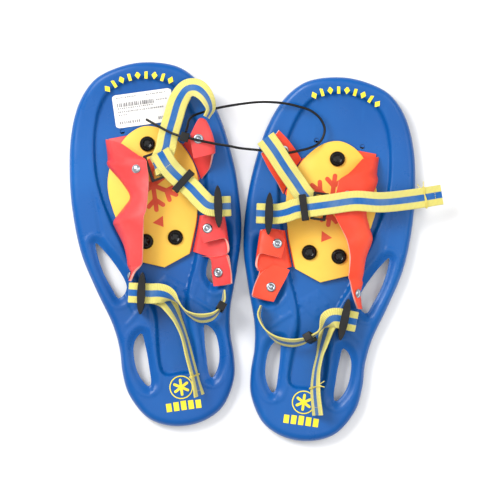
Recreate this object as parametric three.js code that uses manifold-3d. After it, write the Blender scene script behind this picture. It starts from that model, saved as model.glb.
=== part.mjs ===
// A pair of children's moulded snowshoes, lying flat, toes apart, held together by a cable tie.
// Millimetres, +Z up, +Y towards the toes, floor at z = 0. Each shoe is built in its own frame
// (x across, y towards the toe), mirrored for the right foot, then turned and placed.
import * as THREE from 'three';
import { mergeVertices } from 'three/addons/utils/BufferGeometryUtils.js';
import Module from 'manifold-3d';

const wasm = await Module();
wasm.setup();

// ---------- driving dimensions ----------
const SHOE_LENGTH = 355.6;          // 14 inches
const HALF_LENGTH = SHOE_LENGTH / 2;
const SHOE_TURN = 7.9;              // degrees that each toe leans outwards
const LEFT_X = -91.8;               // centre of each shoe
const LEFT_Y = 7.2;
const RIGHT_X = 65.4;
const RIGHT_Y = -7.4;

const PANEL_TOP = 12;               // recessed panel that the harness lies on
const SHELL = 3;                    // wall of the moulded deck
const RIM_RISE = 4.5;               // rim band above the panel
const NOSE_RISE = 11;               // upturn at the toe tip
const NOSE_START = 112;             // where the upturn begins
const SKIRT_BOTTOM = 4;             // lower edge of the rim

const GAP = 0.3;                    // clearance between touching pieces
const SHEET = 2;                    // harness sheet
const PLATE = 3;                    // foot plate
const WEB_WIDTH = 19.5;             // webbing
const WEB = 1.5;

const BASE_Z = PANEL_TOP + GAP;
const PLATE_Z = BASE_Z + SHEET + GAP;
const PLATE_TOP = PLATE_Z + PLATE;

// ---------- small helpers ----------
const V = (x, y, z) => new THREE.Vector3(x, y, z);
const P = (x, y) => new THREE.Vector2(x, y);

// value at t of a line of [t, value] pairs, t rising
function along(pairs, t) {
  if (t <= pairs[0][0]) return pairs[0][1];
  for (let i = 1; i < pairs.length; i++) {
    const [t0, v0] = pairs[i - 1];
    const [t1, v1] = pairs[i];
    if (t <= t1) return v0 + (v1 - v0) * (t - t0) / (t1 - t0);
  }
  return pairs[pairs.length - 1][1];
}

// a closed body between two equal grids of points
function closedGrid(top, bottom) {
  const rows = top.length;
  const cols = top[0].length;
  const positions = [];
  for (const grid of [top, bottom]) {
    for (const row of grid) for (const p of row) positions.push(p.x, p.y, p.z);
  }
  const id = (side, r, c) => side * rows * cols + r * cols + c;
  const index = [];
  const quad = (a, b, c, d) => index.push(a, b, c, a, c, d);
  for (let r = 0; r + 1 < rows; r++) {
    for (let c = 0; c + 1 < cols; c++) {
      quad(id(0, r, c), id(0, r, c + 1), id(0, r + 1, c + 1), id(0, r + 1, c));
      quad(id(1, r, c), id(1, r + 1, c), id(1, r + 1, c + 1), id(1, r, c + 1));
    }
    quad(id(0, r, 0), id(0, r + 1, 0), id(1, r + 1, 0), id(1, r, 0));
    quad(id(0, r + 1, cols - 1), id(0, r, cols - 1), id(1, r, cols - 1), id(1, r + 1, cols - 1));
  }
  for (let c = 0; c + 1 < cols; c++) {
    quad(id(0, 0, c + 1), id(0, 0, c), id(1, 0, c), id(1, 0, c + 1));
    quad(id(0, rows - 1, c), id(0, rows - 1, c + 1), id(1, rows - 1, c + 1), id(1, rows - 1, c));
  }
  const geometry = new THREE.BufferGeometry();
  geometry.setAttribute('position', new THREE.Float32BufferAttribute(positions, 3));
  geometry.setIndex(index);
  return outward(geometry);
}

// signed volume, used to turn a body's faces outward
function volume(geometry) {
  const p = geometry.attributes.position;
  const index = geometry.index;
  const [a, b, c] = [V(0, 0, 0), V(0, 0, 0), V(0, 0, 0)];
  let six = 0;
  for (let i = 0; i < index.count; i += 3) {
    a.fromBufferAttribute(p, index.getX(i));
    b.fromBufferAttribute(p, index.getX(i + 1));
    c.fromBufferAttribute(p, index.getX(i + 2));
    six += a.dot(b.cross(c));
  }
  return six / 6;
}

function outward(geometry) {
  if (volume(geometry) > 0) return geometry;
  const index = geometry.index.array;
  for (let i = 0; i < index.length; i += 3) {
    [index[i], index[i + 1]] = [index[i + 1], index[i]];
  }
  return geometry;
}

// a sheet of even thickness over a grid of points
function thickSheet(grid, thickness) {
  const rows = grid.length;
  const cols = grid[0].length;
  const shifted = (amount) => grid.map((row, r) => row.map((p, c) => {
    const lengthways = grid[Math.min(r + 1, rows - 1)][c].clone().sub(grid[Math.max(r - 1, 0)][c]);
    const across = row[Math.min(c + 1, cols - 1)].clone().sub(row[Math.max(c - 1, 0)]);
    return p.clone().addScaledVector(lengthways.cross(across).normalize(), amount);
  }));
  return closedGrid(shifted(thickness / 2), shifted(-thickness / 2));
}

// a sheet through rows of three control points; each row is a smooth arch
function archedSheet(rows, steps, acrossSteps) {
  const lines = [0, 1, 2].map((k) => (
    new THREE.CatmullRomCurve3(rows.map((row) => V(...row[k])), false, 'centripetal')
  ));
  const grid = [];
  for (let i = 0; i <= steps; i++) {
    const [a, b, c] = lines.map((line) => line.getPoint(i / steps));
    const arch = new THREE.QuadraticBezierCurve3(a, b, c);
    grid.push(arch.getPoints(acrossSteps));
  }
  return grid;
}

// webbing: stations are [x, y, z, ax, ay, az], a point of the middle line and the way across
function webbingFrame(stations, t) {
  const middle = new THREE.CatmullRomCurve3(stations.map((s) => V(s[0], s[1], s[2])), false, 'centripetal');
  const ways = new THREE.CatmullRomCurve3(stations.map((s) => V(s[3], s[4], s[5])), false, 'centripetal');
  const tangent = middle.getTangent(t);
  const across = ways.getPoint(t);
  across.addScaledVector(tangent, -across.dot(tangent)).normalize();
  return { point: middle.getPoint(t), tangent, across };
}

function webbing(stations, perSpan = 3) {
  const steps = (stations.length - 1) * perSpan;
  const grid = [];
  for (let i = 0; i <= steps; i++) {
    const { point, across } = webbingFrame(stations, i / steps);
    const half = across.multiplyScalar(WEB_WIDTH / 2);
    grid.push([point.clone().sub(half), point.clone().add(half)]);
  }
  return thickSheet(grid, WEB);
}

// a ring seated round the webbing at a station, moved `drop` mm towards the other ply
function ringOn(stations, station, geometry, drop) {
  const { point, tangent, across } = webbingFrame(stations, station / (stations.length - 1));
  const normal = across.clone().cross(tangent).normalize();
  const basis = new THREE.Matrix4().makeBasis(across, tangent, normal);
  return geometry.applyMatrix4(basis).translate(point.x, point.y, point.z + drop);
}

function solid(geometry) {
  const bare = geometry.clone();
  bare.deleteAttribute('normal');
  bare.deleteAttribute('uv');
  const merged = mergeVertices(bare, 1e-4);
  const vertProperties = new Float32Array(merged.attributes.position.array);
  const triVerts = new Uint32Array(merged.index.array);
  return new wasm.Manifold(new wasm.Mesh({ numProp: 3, vertProperties, triVerts }));
}

function geometryOf(manifold) {
  const mesh = manifold.getMesh();
  const geometry = new THREE.BufferGeometry();
  geometry.setAttribute('position', new THREE.Float32BufferAttribute(mesh.vertProperties, 3));
  geometry.setIndex(Array.from(mesh.triVerts));
  return geometry;
}

// the first geometry less all the others
function cut(geometry, tools) {
  let result = solid(geometry);
  for (const tool of tools) result = result.subtract(solid(tool));
  return geometryOf(result);
}

function joined(geometries) {
  let result = solid(geometries[0]);
  for (const other of geometries.slice(1)) result = result.add(solid(other));
  return geometryOf(result);
}

// an upright prism of a plan outline
function prism(points, z, height) {
  const shape = new THREE.Shape(points);
  const geometry = new THREE.ExtrudeGeometry(shape, { depth: height, bevelEnabled: false });
  return geometry.translate(0, 0, z);
}

function smooth(points, divisions, closed = true) {
  const curve = new THREE.CatmullRomCurve3(points.map(([x, y]) => V(x, y, 0)), closed, 'centripetal');
  const list = curve.getPoints(divisions).map((p) => P(p.x, p.y));
  if (closed) list.pop();
  return list;
}

function upright(radius, z0, z1, x, y, sides = 14) {
  const geometry = new THREE.CylinderGeometry(radius, radius, z1 - z0, sides);
  return geometry.rotateX(Math.PI / 2).translate(x, y, (z0 + z1) / 2);
}

// turned body on a profile of [radius, height] points, its axis along `axis` at `centre`
function turned(profile, sides, centre, axis) {
  const geometry = new THREE.LatheGeometry(profile.map(([r, h]) => P(r, h)), sides);
  const turn = new THREE.Quaternion().setFromUnitVectors(V(0, 1, 0), axis.clone().normalize());
  geometry.applyQuaternion(turn).translate(centre.x, centre.y, centre.z);
  return geometryOf(solid(geometry));
}

// ---------- deck ----------
// right half of the outline, nose to tail
const OUTLINE = [
  [0, 177.8], [28, 173.5], [44, 166], [60, 148], [72.5, 118], [79.5, 78], [81.4, 44], [78.6, 2],
  [69, -35], [57.5, -72], [54.4, -95], [54.8, -118], [51.5, -140], [37, -164.5], [20, -174.5], [0, -177.8],
];
const outlineCurve = new THREE.CatmullRomCurve3(
  [[-28, 173.5], ...OUTLINE, [-20, -174.5]].map(([x, y]) => V(x, y, 0)), false, 'centripetal');
// half-width of the recessed panel and, behind it, of the trough between the heel openings
const PANEL_HALF = [
  [-124, 15], [-60, 16], [-20, 30], [9, 39], [27, 45], [52, 51], [76, 53.5], [100, 52],
  [121, 48], [140, 41], [154, 30], [161, 12],
];
const PANEL_REAR = -124;
const PANEL_FRONT = 161;
const STEP = 1.5;                   // half the width of the step into the panel
const SHOULDER = 8;                 // rounded outer shoulder of the rim
const EDGE_TOP = 8;

const MID_OPENING = [
  [63, 10], [54.7, -0.5], [45.8, -16], [40.2, -29], [39.2, -37], [43, -43.5], [48.6, -46],
  [53.5, -36], [59.5, -20], [63, -2],
];
const REAR_OPENING = [
  [31, -83], [29, -95], [28.2, -114], [29, -133], [31.5, -134.5], [37, -127.5], [40.4, -118],
  [41.5, -105], [40.3, -94], [36.5, -86.5],
];
const BOLTS = { front: [0, 98.5], outer: [-14.5, 5], inner: [14.5, 5] };
const LACE_HOLES = [[22.5, 114], [-22.5, 114]];

const noseRise = (y) => NOSE_RISE * Math.max(0, (y - NOSE_START) / (HALF_LENGTH - NOSE_START)) ** 2;

function deckRow(t) {
  const { x: half, y } = outlineCurve.getPoint(t);
  const hasPanel = y < PANEL_FRONT && y > PANEL_REAR;
  const panel = hasPanel ? along(PANEL_HALF, y) : half * 0.45;
  const floor = hasPanel ? PANEL_TOP : PANEL_TOP + RIM_RISE;
  const inset = Math.min(1, half / 40);
  const nearEnd = Math.max(0, 1 - (HALF_LENGTH - Math.abs(y)) / SHOULDER);
  const crest = PANEL_TOP + RIM_RISE - (PANEL_TOP + RIM_RISE - EDGE_TOP) * nearEnd ** 2;
  const shoulderMid = EDGE_TOP + 0.75 * (crest - EDGE_TOP);
  const lift = noseRise(y);
  const low = Math.min(SKIRT_BOTTOM, crest - SHELL);
  const side = [
    [half, EDGE_TOP, low],
    [half - 2.5 * inset, shoulderMid, low],
    [half - SHOULDER * inset, crest, crest - SHELL],
    [panel + STEP, crest, crest - SHELL],
    [panel - STEP, Math.min(floor, crest), Math.min(floor, crest) - SHELL],
    [panel * 0.45, Math.min(floor, crest), Math.min(floor, crest) - SHELL],
  ];
  const columns = [
    ...side.map(([x, top, bottom]) => [-x, top, bottom]),
    ...side.reverse(),
  ];
  return {
    top: columns.map(([x, top]) => V(x, y, top + lift)),
    bottom: columns.map(([x, , bottom]) => V(x, y, bottom + lift)),
  };
}

function deckShell() {
  const spans = OUTLINE.length + 1;
  const rows = [];
  const perSpan = 2;
  for (let i = perSpan + 1; i < (spans - 1) * perSpan; i++) rows.push(deckRow(i / (spans * perSpan)));
  return closedGrid(rows.map((row) => row.top), rows.map((row) => row.bottom));
}

// a bar of saw teeth under the deck, from x0 to x1 at y
function teeth(x0, x1, y, top, count) {
  const pitch = (x1 - x0) / count;
  const outline = [P(x0, top), P(x0, 5)];
  for (let i = 0; i < count; i++) {
    outline.push(P(x0 + (i + 0.3) * pitch, 0), P(x0 + (i + 0.7) * pitch, 0), P(x0 + (i + 1) * pitch, 5));
  }
  outline.push(P(x1, top));
  const bar = new THREE.ExtrudeGeometry(new THREE.Shape(outline), { depth: 5, bevelEnabled: false });
  return bar.rotateX(Math.PI / 2).translate(0, y + 2.5, 0);
}

function deck() {
  const panelTeeth = PANEL_TOP - 1.2;
  const rimTeeth = PANEL_TOP + RIM_RISE - 1.2;
  const body = joined([
    deckShell(),
    teeth(-43, 43, 116, panelTeeth, 7),
    teeth(-43, 43, 50, panelTeeth, 7),
    teeth(-36, 36, -9, panelTeeth - 0.3, 6),
    teeth(-49, -21, -62, rimTeeth, 3),
    teeth(21, 49, -62, rimTeeth, 3),
    teeth(-28, 28, -150, rimTeeth, 5),
  ]);
  const holes = Object.values(BOLTS).map(([x, y]) => upright(3.3, 0, 20, x, y));
  const laces = LACE_HOLES.map(([x, y]) => upright(2.5, 0, 25, x, y, 10));
  const openings = [MID_OPENING, REAR_OPENING].flatMap((half) => [1, -1].map((side) => (
    prism(smooth(half.map(([x, y]) => [side * x, y]), 22), -5, 40)
  )));
  return cut(body, [...holes, ...laces, ...openings]);
}

// ---------- plate, harness base and bolts ----------
// right half of the plate's round part; straight sides meet behind it
const PLATE_HALF = [[0, 116], [14, 112], [26, 102], [37, 86], [43, 69], [44, 54], [41.5, 37]];

function footPlate() {
  const round = PLATE_HALF.slice(1, 7);
  const front = [...round.map(([x, y]) => [-x, y]).reverse(), PLATE_HALF[0], ...round];
  const outline = [
    ...smooth(front, 26, false), P(36.5, 16), P(26, -12.5), P(0, -22.5), P(-26, -12.5), P(-36.5, 16),
  ];
  const holes = Object.values(BOLTS).map(([x, y]) => upright(3.3, 0, 30, x, y));
  return cut(prism(outline, PLATE_Z, PLATE), holes);
}

function harnessBase() {
  const outline = [
    [-36.8, 108.7], [-17, 109.5], [10, 104], [33.4, 94.5], [41.2, 77], [45.8, 58.5], [38, 48],
    [38, 32], [39, 23], [34, 7], [27.6, -11], [23, -13], [-23, -13], [-27.6, -11], [-34, 7], [-39, 23],
    [-31, 32], [-31, 79], [-37.2, 88],
  ].map(([x, y]) => P(x, y));
  const holes = Object.values(BOLTS).map(([x, y]) => upright(3.3, 0, 30, x, y));
  return cut(prism(outline, BASE_Z, SHEET), holes);
}

function bolt([x, y]) {
  const head = PLATE_TOP + GAP;
  const profile = [
    [0, 4.6], [3, 4.6], [3, head], [7.4, head], [7.2, head + 2], [5.6, head + 3.6],
    [4.2, head + 4.1], [3.8, head + 3.5], [1.5, head + 3.5], [0, head + 3.5],
  ];
  return turned(profile, 16, V(x, y, 0), V(0, 0, 1));
}

function nut([x, y]) {
  const top = PANEL_TOP - SHELL - GAP;
  const profile = [[3.3, top - 3.6], [5.8, top - 3.6], [6.8, top - 1.2], [6.8, top], [3.3, top], [3.3, top - 3.6]];
  return turned(profile, 12, V(x, y, 0), V(0, 0, 1));
}

// ---------- harness sheets: rows of [one edge, arch control, other edge] ----------
const FOLD_Z = BASE_Z + SHEET / 2;
const OUTER_WING = {
  left: [
    [[-39, 108.5, FOLD_Z], [-34, 106, 21], [-24, 101, 25]],
    [[-39, 98, FOLD_Z], [-36, 94, 33], [-9, 87, 38]],
    [[-39.4, 89, FOLD_Z], [-36, 86, 38], [-2.5, 82, 42.5]],
    [[-40.4, 84, 19], [-36, 82, 38], [-2.5, 77, 43]],
    [[-28, 64, 26], [-27, 64, 40], [-2.5, 66, 43.5]],
    [[-22.5, 49, 31], [-18, 49, 44], [-6, 47, 47]],
    [[-31, 39, 26], [-28, 38, 44], [-9, 35, 48]],
    [[-42, 28, 20], [-39, 28, 43], [-12, 29, 48]],
    [[-41.7, 23, 14], [-39, 23, 42], [-13, 24, 48]],
    [[-36.3, 8, FOLD_Z], [-38, 8, 36], [-15.5, 10, 47]],
    [[-30.6, -8, 13.6], [-41, -9, 33], [-18.5, -8, 43]],
    [[-33, -15, 19], [-38, -15, 32], [-20, -15, 41]],
  ],
  right: [
    [[-39, 106, FOLD_Z], [-34, 104, 21], [-24, 101.5, 25]],
    [[-39, 97, FOLD_Z], [-37, 94, 33], [-13, 86, 38]],
    [[-39.4, 89, FOLD_Z], [-37, 86, 38], [-4, 78, 41]],
    [[-40.8, 83, 19], [-37, 80, 38], [-3.5, 73, 41.5]],
    [[-37, 66, 26], [-33, 66, 40], [-2.5, 63, 41.5]],
    [[-34, 50, 29], [-30, 50, 42], [-3, 47, 41.5]],
    [[-38, 39, 25], [-37, 38, 41], [-11, 34, 43]],
    [[-42.4, 28, 20], [-47, 28, 38], [-16, 27, 44]],
    [[-41.7, 23, 14], [-49, 23, 36], [-19.5, 21, 45]],
    [[-36.3, 8, FOLD_Z], [-47, 8, 33], [-24, 8, 44]],
    [[-30.6, -8, 13.6], [-50, -8, 31], [-25.5, -6, 42]],
    [[-34.6, -15, 20], [-46, -15, 31], [-26, -14, 39]],
  ],
};
const OUTER_TAIL = {
  left: [
    [[-33, -17.4, 19.5], [-36, -17.4, 31], [-21.5, -17.2, 40]],
    [[-32, -22, 20.5], [-33, -22, 31], [-28, -22, 38]],
    [[-32.5, -26, 20.5], [-34, -26, 30], [-31, -26, 37]],
    [[-34.5, -30.8, 20], [-36, -30.8, 28], [-34, -30.8, 34.5]],
  ],
  right: [
    [[-37.5, -17.4, 19.5], [-45, -17.2, 30], [-27.5, -16.6, 38]],
    [[-38.5, -26, 20], [-41, -26, 30], [-31, -26, 36.5]],
    [[-40.5, -35, 20], [-42, -35, 28], [-35, -35, 34.5]],
    [[-43, -42.5, 19], [-43.5, -42.5, 26], [-39, -42.5, 31]],
  ],
};
const INNER_TOE_ARM = {
  left: [
    [[34.8, 94, FOLD_Z], [44.5, 77, FOLD_Z], [47.5, 58, FOLD_Z]],
    [[46, 101, 23], [52, 83, 22], [56, 66, 21]],
    [[57, 110, 33], [61.5, 95, 34], [61.5, 79, 32]],
    [[59, 112, 40], [66, 95, 40], [63, 80, 38]],
    [[54, 115, 44], [58, 97, 44], [57, 79, 43]],
    [[43, 101, 45], [42, 90, 45], [43, 77.5, 44]],
  ],
  right: [
    [[34.8, 94, FOLD_Z], [44.5, 77, FOLD_Z], [47.5, 58, FOLD_Z]],
    [[41, 101, 19], [48, 84, 19], [54, 67, 19]],
    [[50, 110, 25], [57, 95, 26], [65, 80, 25]],
    [[60, 118, 29], [67, 106, 29], [74, 93, 29]],
  ],
};
const INNER_HEEL_ARM = [
  [[41.5, 22.5, FOLD_Z], [36.5, 6, FOLD_Z], [30.2, -11, FOLD_Z]],
  [[42.6, 22.5, 18.6], [38.5, 6, 18.6], [31.8, -12, 18.6]],
  [[52, 23, 19.6], [50, 4, 19.6], [44.5, -17.5, 20]],
  [[63.5, 20.5, 21], [63.5, 3, 21.5], [62.5, -17, 25]],
  [[62.8, 19.5, 24.5], [63.3, 9, 25], [62, -3, 28]],
  [[51, 22, 26.5], [51.5, 9, 27], [52, -3, 28.8]],
  [[39, 14, 26], [39, 6, 26.5], [41, -4, 27.5]],
];
const INNER_TAIL = {
  left: [
    [[45, -20, 20], [54, -20, 21], [63, -19.6, 27]],
    [[45, -34, 19.5], [55, -35, 22], [63, -35, 29]],
    [[45, -47, 20], [54, -48, 24], [61, -47, 31]],
  ],
  right: [
    [[38, -20, 19.5], [49, -20, 20.5], [60, -19.6, 25]],
    [[38.5, -34, 19.5], [50, -35, 21], [63, -35, 26.5]],
    [[43, -47, 19.5], [53, -47.5, 21.5], [63, -45, 28]],
  ],
};

// ---------- webbing routes: x, y, z and the way across ----------
const TOE_STRAP = {
  left: [
    [60.5, 115, 47, 0.25, -0.1, -0.96], [65, 122, 47, 0.45, 0.1, -0.88], [63.5, 133, 44.5, 0.6, 0.3, -0.73],
    [55.5, 144, 38, 0.3, 0.85, -0.5], [45.5, 145, 32, -0.35, 0.9, -0.3], [36.5, 136, 30, -0.85, 0.5, -0.1],
    [28, 118, 33, -0.9, 0.43, 0], [21.5, 103, 38, -0.87, 0.5, 0], [17, 90, 41.2, -0.8, 0.6, 0],
    [10, 79, 41.8, -0.3, 0.95, 0], [4.6, 75.5, 37.8, -0.2, 0.98, 0], [10, 74.6, 33.7, -0.15, 0.98, 0],
    [17, 71.5, 35.4, 0.35, 0.93, 0], [23.5, 65, 36.8, 0.62, 0.78, 0], [30, 57.3, 37, 0.7, 0.7, 0],
    [37, 49, 37, 0.7, 0.7, 0], [44, 39, 36.8, 0.65, 0.76, 0], [51, 31, 36.5, 0.3, 0.95, 0],
    [60, 28.5, 36.5, 0.1, 1, 0], [67, 27.8, 37.2, 0.1, 1, 0], [71.5, 27.4, 41.5, 0.1, 1, 0],
    [67, 27.8, 45.8, 0.1, 1, 0], [60, 28.5, 46.5, 0.1, 1, 0], [51, 31, 46, 0.3, 0.95, 0],
    [44, 39, 43.5, 0.65, 0.76, 0], [37, 49, 41, 0.7, 0.7, 0], [30, 57.3, 41, 0.7, 0.7, 0],
    [23.5, 65, 41.6, 0.72, 0.69, 0], [17.5, 74, 44.5, 0.77, 0.64, 0], [11.5, 88, 46.5, 0.85, 0.5, 0],
  ],
  right: [
    [72, 108.5, 36, 0.7, -0.7, 0], [61, 97, 35.5, 0.7, -0.7, 0], [49, 83, 33.4, 0.75, -0.65, 0],
    [37, 70, 31, 0.7, -0.7, 0], [28, 60, 33, 0.6, -0.8, 0], [19, 52.5, 33.4, 0.3, -0.95, 0],
    [11.8, 50, 37.6, 0.05, -1, 0], [18, 49, 41.3, -0.05, -1, 0], [26, 47, 41, -0.2, -0.98, 0],
    [34, 44.6, 40.4, -0.3, -0.95, 0], [42, 40.4, 38.6, -0.35, -0.93, 0], [50, 37.6, 36.8, -0.2, -0.98, 0],
    [58.5, 36.5, 36.5, -0.1, -1, 0], [65.5, 35.8, 37.2, -0.1, -1, 0], [70, 35.4, 41.5, -0.1, -1, 0],
    [65.5, 35.8, 45.8, -0.1, -1, 0], [58.5, 36.5, 46.5, -0.1, -1, 0], [50, 37.6, 46.3, -0.2, -0.98, 0],
    [42, 40.4, 46, -0.35, -0.93, 0], [34, 44.6, 45.4, -0.3, -0.95, 0], [26, 47, 45, -0.2, -0.98, 0],
    [18, 49, 45.4, -0.25, -0.97, 0], [0, 54, 47.6, -0.25, -0.97, 0], [-22, 60, 49, -0.2, -0.98, 0],
    [-46, 62, 45, -0.1, -1, 0], [-75, 69, 35, -0.2, -0.98, 0], [-104.5, 78, 27, -0.25, -0.97, 0],
  ],
};
const HEEL_STRAP = {
  left: [
    [54.5, -52, 29, 0.05, 0, 1], [52, -63, 29.6, 0.2, 0.2, 0.95], [46, -71, 30.4, 0.15, 0.3, 0.93],
    [38, -75.5, 30, 0.1, 0.42, 0.9], [27, -75.5, 28.6, 0, 0.45, 0.89], [17, -69, 28.8, -0.2, 0.4, 0.89],
    [8, -57, 31.5, -0.3, 0.5, 0.8], [0, -49.5, 34.2, -0.15, 0.8, 0.55], [-8, -46.5, 35.6, 0.05, 0.98, 0.15],
    [-16, -45.6, 35.6, 0.19, 0.98, 0], [-25, -44, 35.6, 0.19, 0.98, 0], [-32, -42.6, 35, 0.19, 0.98, 0],
    [-36.8, -41.7, 30.6, 0.19, 0.98, 0], [-32, -42.6, 26.2, 0.19, 0.98, 0], [-25, -44, 25.6, 0.19, 0.98, 0],
    [-16, -45.6, 25.4, 0.19, 0.98, 0], [-10, -48, 24.8, 0.35, 0.9, -0.2], [-4, -53, 24, 0.5, 0.7, -0.5],
    [1, -61, 23.4, 0.6, 0.4, -0.7], [6, -75, 22.8, 0.4, 0.1, -0.91], [10, -92, 24, 0.3, 0, -0.95],
    [12.5, -113, 27.4, 0.35, 0, -0.94], [15, -134, 27.8, 0.35, 0, -0.94], [16.5, -150, 27, 0.5, 0, -0.85],
  ],
  right: [
    [54, -52, 29, 0.05, 0, 1], [54.5, -62, 29, 0.15, 0.15, 0.97], [47, -74, 28.8, 0.2, 0.2, 0.95],
    [34, -82.5, 28.4, 0.15, 0.35, 0.92], [20, -84, 28.4, 0, 0.4, 0.91], [10, -81, 29.4, -0.1, 0.4, 0.9],
    [3, -76.5, 30.6, -0.2, 0.38, 0.9], [-4, -70, 31.6, -0.3, 0.45, 0.84], [-10, -61.5, 33.6, -0.25, 0.8, 0.5],
    [-15, -55.5, 35.2, -0.1, 0.98, 0.15], [-20, -54, 35.6, -0.07, 1, 0], [-27.5, -54.5, 35.6, -0.07, 1, 0],
    [-34.5, -55, 35, -0.07, 1, 0], [-39.3, -55.3, 30.6, -0.07, 1, 0], [-34.5, -55, 26.2, -0.07, 1, 0],
    [-27.5, -54.5, 25.6, -0.07, 1, 0], [-20, -54.2, 25.2, 0, 1, 0], [-15, -57.5, 24.6, 0.35, 0.9, -0.25],
    [-12.5, -66, 23.8, 0.6, 0.4, -0.7], [-10.5, -80, 22.8, 0.5, 0, -0.87], [-9, -94, 22.8, 0.3, 0, -0.95],
    [-8, -110, 23.2, 0.35, 0, -0.94], [-9.5, -127, 26.5, 0.45, 0, -0.9], [-15, -150, 27, 0.5, 0, -0.85],
  ],
};

// ---------- buckles ----------
// ladder lock: a lens-shaped body with two windows; bars lie along its x axis, height along z
const LOCK_WIDTH = 41;
const LOCK_DEPTH = 8;
const LOCK_HEIGHT = 24;
const WINDOW = 22.5;
const WINDOW_HEIGHT = 7;
const LOCK_BAR = 3;

function ladderLock() {
  const half = LOCK_WIDTH / 2;
  const lens = smooth([
    [half, 0], [half - 5, 2.6], [0, LOCK_DEPTH / 2], [5 - half, 2.6],
    [-half, 0], [5 - half, -2.6], [0, -LOCK_DEPTH / 2], [half - 5, -2.6],
  ], 20);
  const body = prism(lens, -LOCK_HEIGHT / 2, LOCK_HEIGHT);
  const offset = (WINDOW_HEIGHT + LOCK_BAR) / 2;
  const windows = [offset, -offset].map((z) => (
    new THREE.BoxGeometry(WINDOW, 20, WINDOW_HEIGHT).translate(0, 0, z)
  ));
  return cut(body, windows);
}

// a rectangular ring; its hole runs along y
function ring(width, height, depth, holeWidth, holeHeight) {
  const outer = new THREE.BoxGeometry(width, depth, height);
  return cut(outer, [new THREE.BoxGeometry(holeWidth, depth * 2, holeHeight)]);
}

// ---------- rivets ----------
const RIVET_HOLE = 2;

function rivet(seat) {
  const reach = SHEET / 2 + 0.7;
  const profile = [
    [0, -reach - 1], [3.6, -reach - 0.8], [3.6, -reach], [1.6, -reach], [1.6, reach],
    [4.2, reach], [3.9, reach + 0.9], [2.2, reach + 1.7], [0, reach + 1.9],
  ];
  return turned(profile, 10, seat.point, seat.normal);
}

function seatOn(rows, u, v) {
  const lines = [0, 1, 2].map((k) => (
    new THREE.CatmullRomCurve3(rows.map((row) => V(...row[k])), false, 'centripetal')
  ));
  const at = (uu, vv) => new THREE.QuadraticBezierCurve3(...lines.map((l) => l.getPoint(uu))).getPoint(vv);
  const point = at(u, v);
  const normal = at(u + 0.02, v).sub(at(u - 0.02, v)).cross(at(u, v + 0.02).sub(at(u, v - 0.02))).normalize();
  if (normal.z < 0) normal.negate();
  return { point, normal };
}

function sheetWithHoles(rows, steps, acrossSteps, seats) {
  const sheet = thickSheet(archedSheet(rows, steps, acrossSteps), SHEET);
  if (seats.length === 0) return sheet;
  return cut(sheet, seats.map((seat) => (
    turned([[0, -6], [RIVET_HOLE, -6], [RIVET_HOLE, 6], [0, 6]], 8, seat.point, seat.normal)
  )));
}

// ---------- one shoe ----------
const MATERIALS = {
  deck: [0x1560bd, 0.35], plate: [0xf8d66a, 0.5], harness: [0xe8504a, 0.5], webbing: [0xdcd070, 0.8],
  black: [0x1c1a19, 0.4], steel: [0xb8babd, 0.3, 0.9], label: [0xf2f2f0, 0.6],
};

function piece(name, geometry, look) {
  const [color, roughness, metalness = 0] = MATERIALS[look];
  const mesh = new THREE.Mesh(geometry, new THREE.MeshStandardMaterial({ color, roughness, metalness }));
  mesh.name = name;
  return mesh;
}

// the same body seen in a mirror across x = 0
function mirrored(geometry) {
  const flipped = geometry.clone().scale(-1, 1, 1);
  return outward(geometryOf(solid(flipped)));
}

const RIVETS = {
  outer_toe: { sheet: 'outer_wing', left: [0.3, 0.82], right: [0.36, 0.8] },
  outer_heel: { sheet: 'outer_tail', left: [0.62, 0.5], right: [0.4, 0.7] },
  inner_toe: { sheet: 'inner_toe_arm', left: [0.9, 0.45], right: [0.62, 0.3] },
  inner_mid: { sheet: 'inner_heel_arm', left: [0.9, 0.45], right: [0.9, 0.45] },
  inner_heel: { sheet: 'inner_tail', left: [0.5, 0.4], right: [0.45, 0.4] },
};
const SHEETS = {
  outer_wing: { left: OUTER_WING.left, right: OUTER_WING.right, steps: 18, across: 4 },
  outer_tail: { left: OUTER_TAIL.left, right: OUTER_TAIL.right, steps: 6, across: 4 },
  inner_toe_arm: { left: INNER_TOE_ARM.left, right: INNER_TOE_ARM.right, steps: 12, across: 3 },
  inner_heel_arm: { left: INNER_HEEL_ARM, right: INNER_HEEL_ARM, steps: 16, across: 3 },
  inner_tail: { left: INNER_TAIL.left, right: INNER_TAIL.right, steps: 6, across: 3 },
};
// centre, and turn about z in degrees of the part's own x axis, in the left shoe's layout
const HARDWARE = {
  toe_lock: { left: [60, 28.5, 41.5, 84], right: [58.5, 36.5, 41.5, 84] },
  heel_lock: { left: [-25, -44, 30.6, 79], right: [-27.5, -54.5, 30.6, 94] },
  toe_hook: { left: [4.6, 75, 37.9, 101.5], right: [11.2, 50.3, 37.7, 90] },
};
// sliders: width, height, length along the strap, and the hole's width and height
const TOE_SLIDER = [25.5, 11, 7, 20.9, 7.6];
const HEEL_SLIDER = [25.5, 8, 8, 22.3, 6];
// station on the strap that each slider starts at
const SLIDER_STATION = { toe_slider: { left: 14, right: 8 }, heel_slider: { left: 1.5, right: 6 } };

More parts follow.
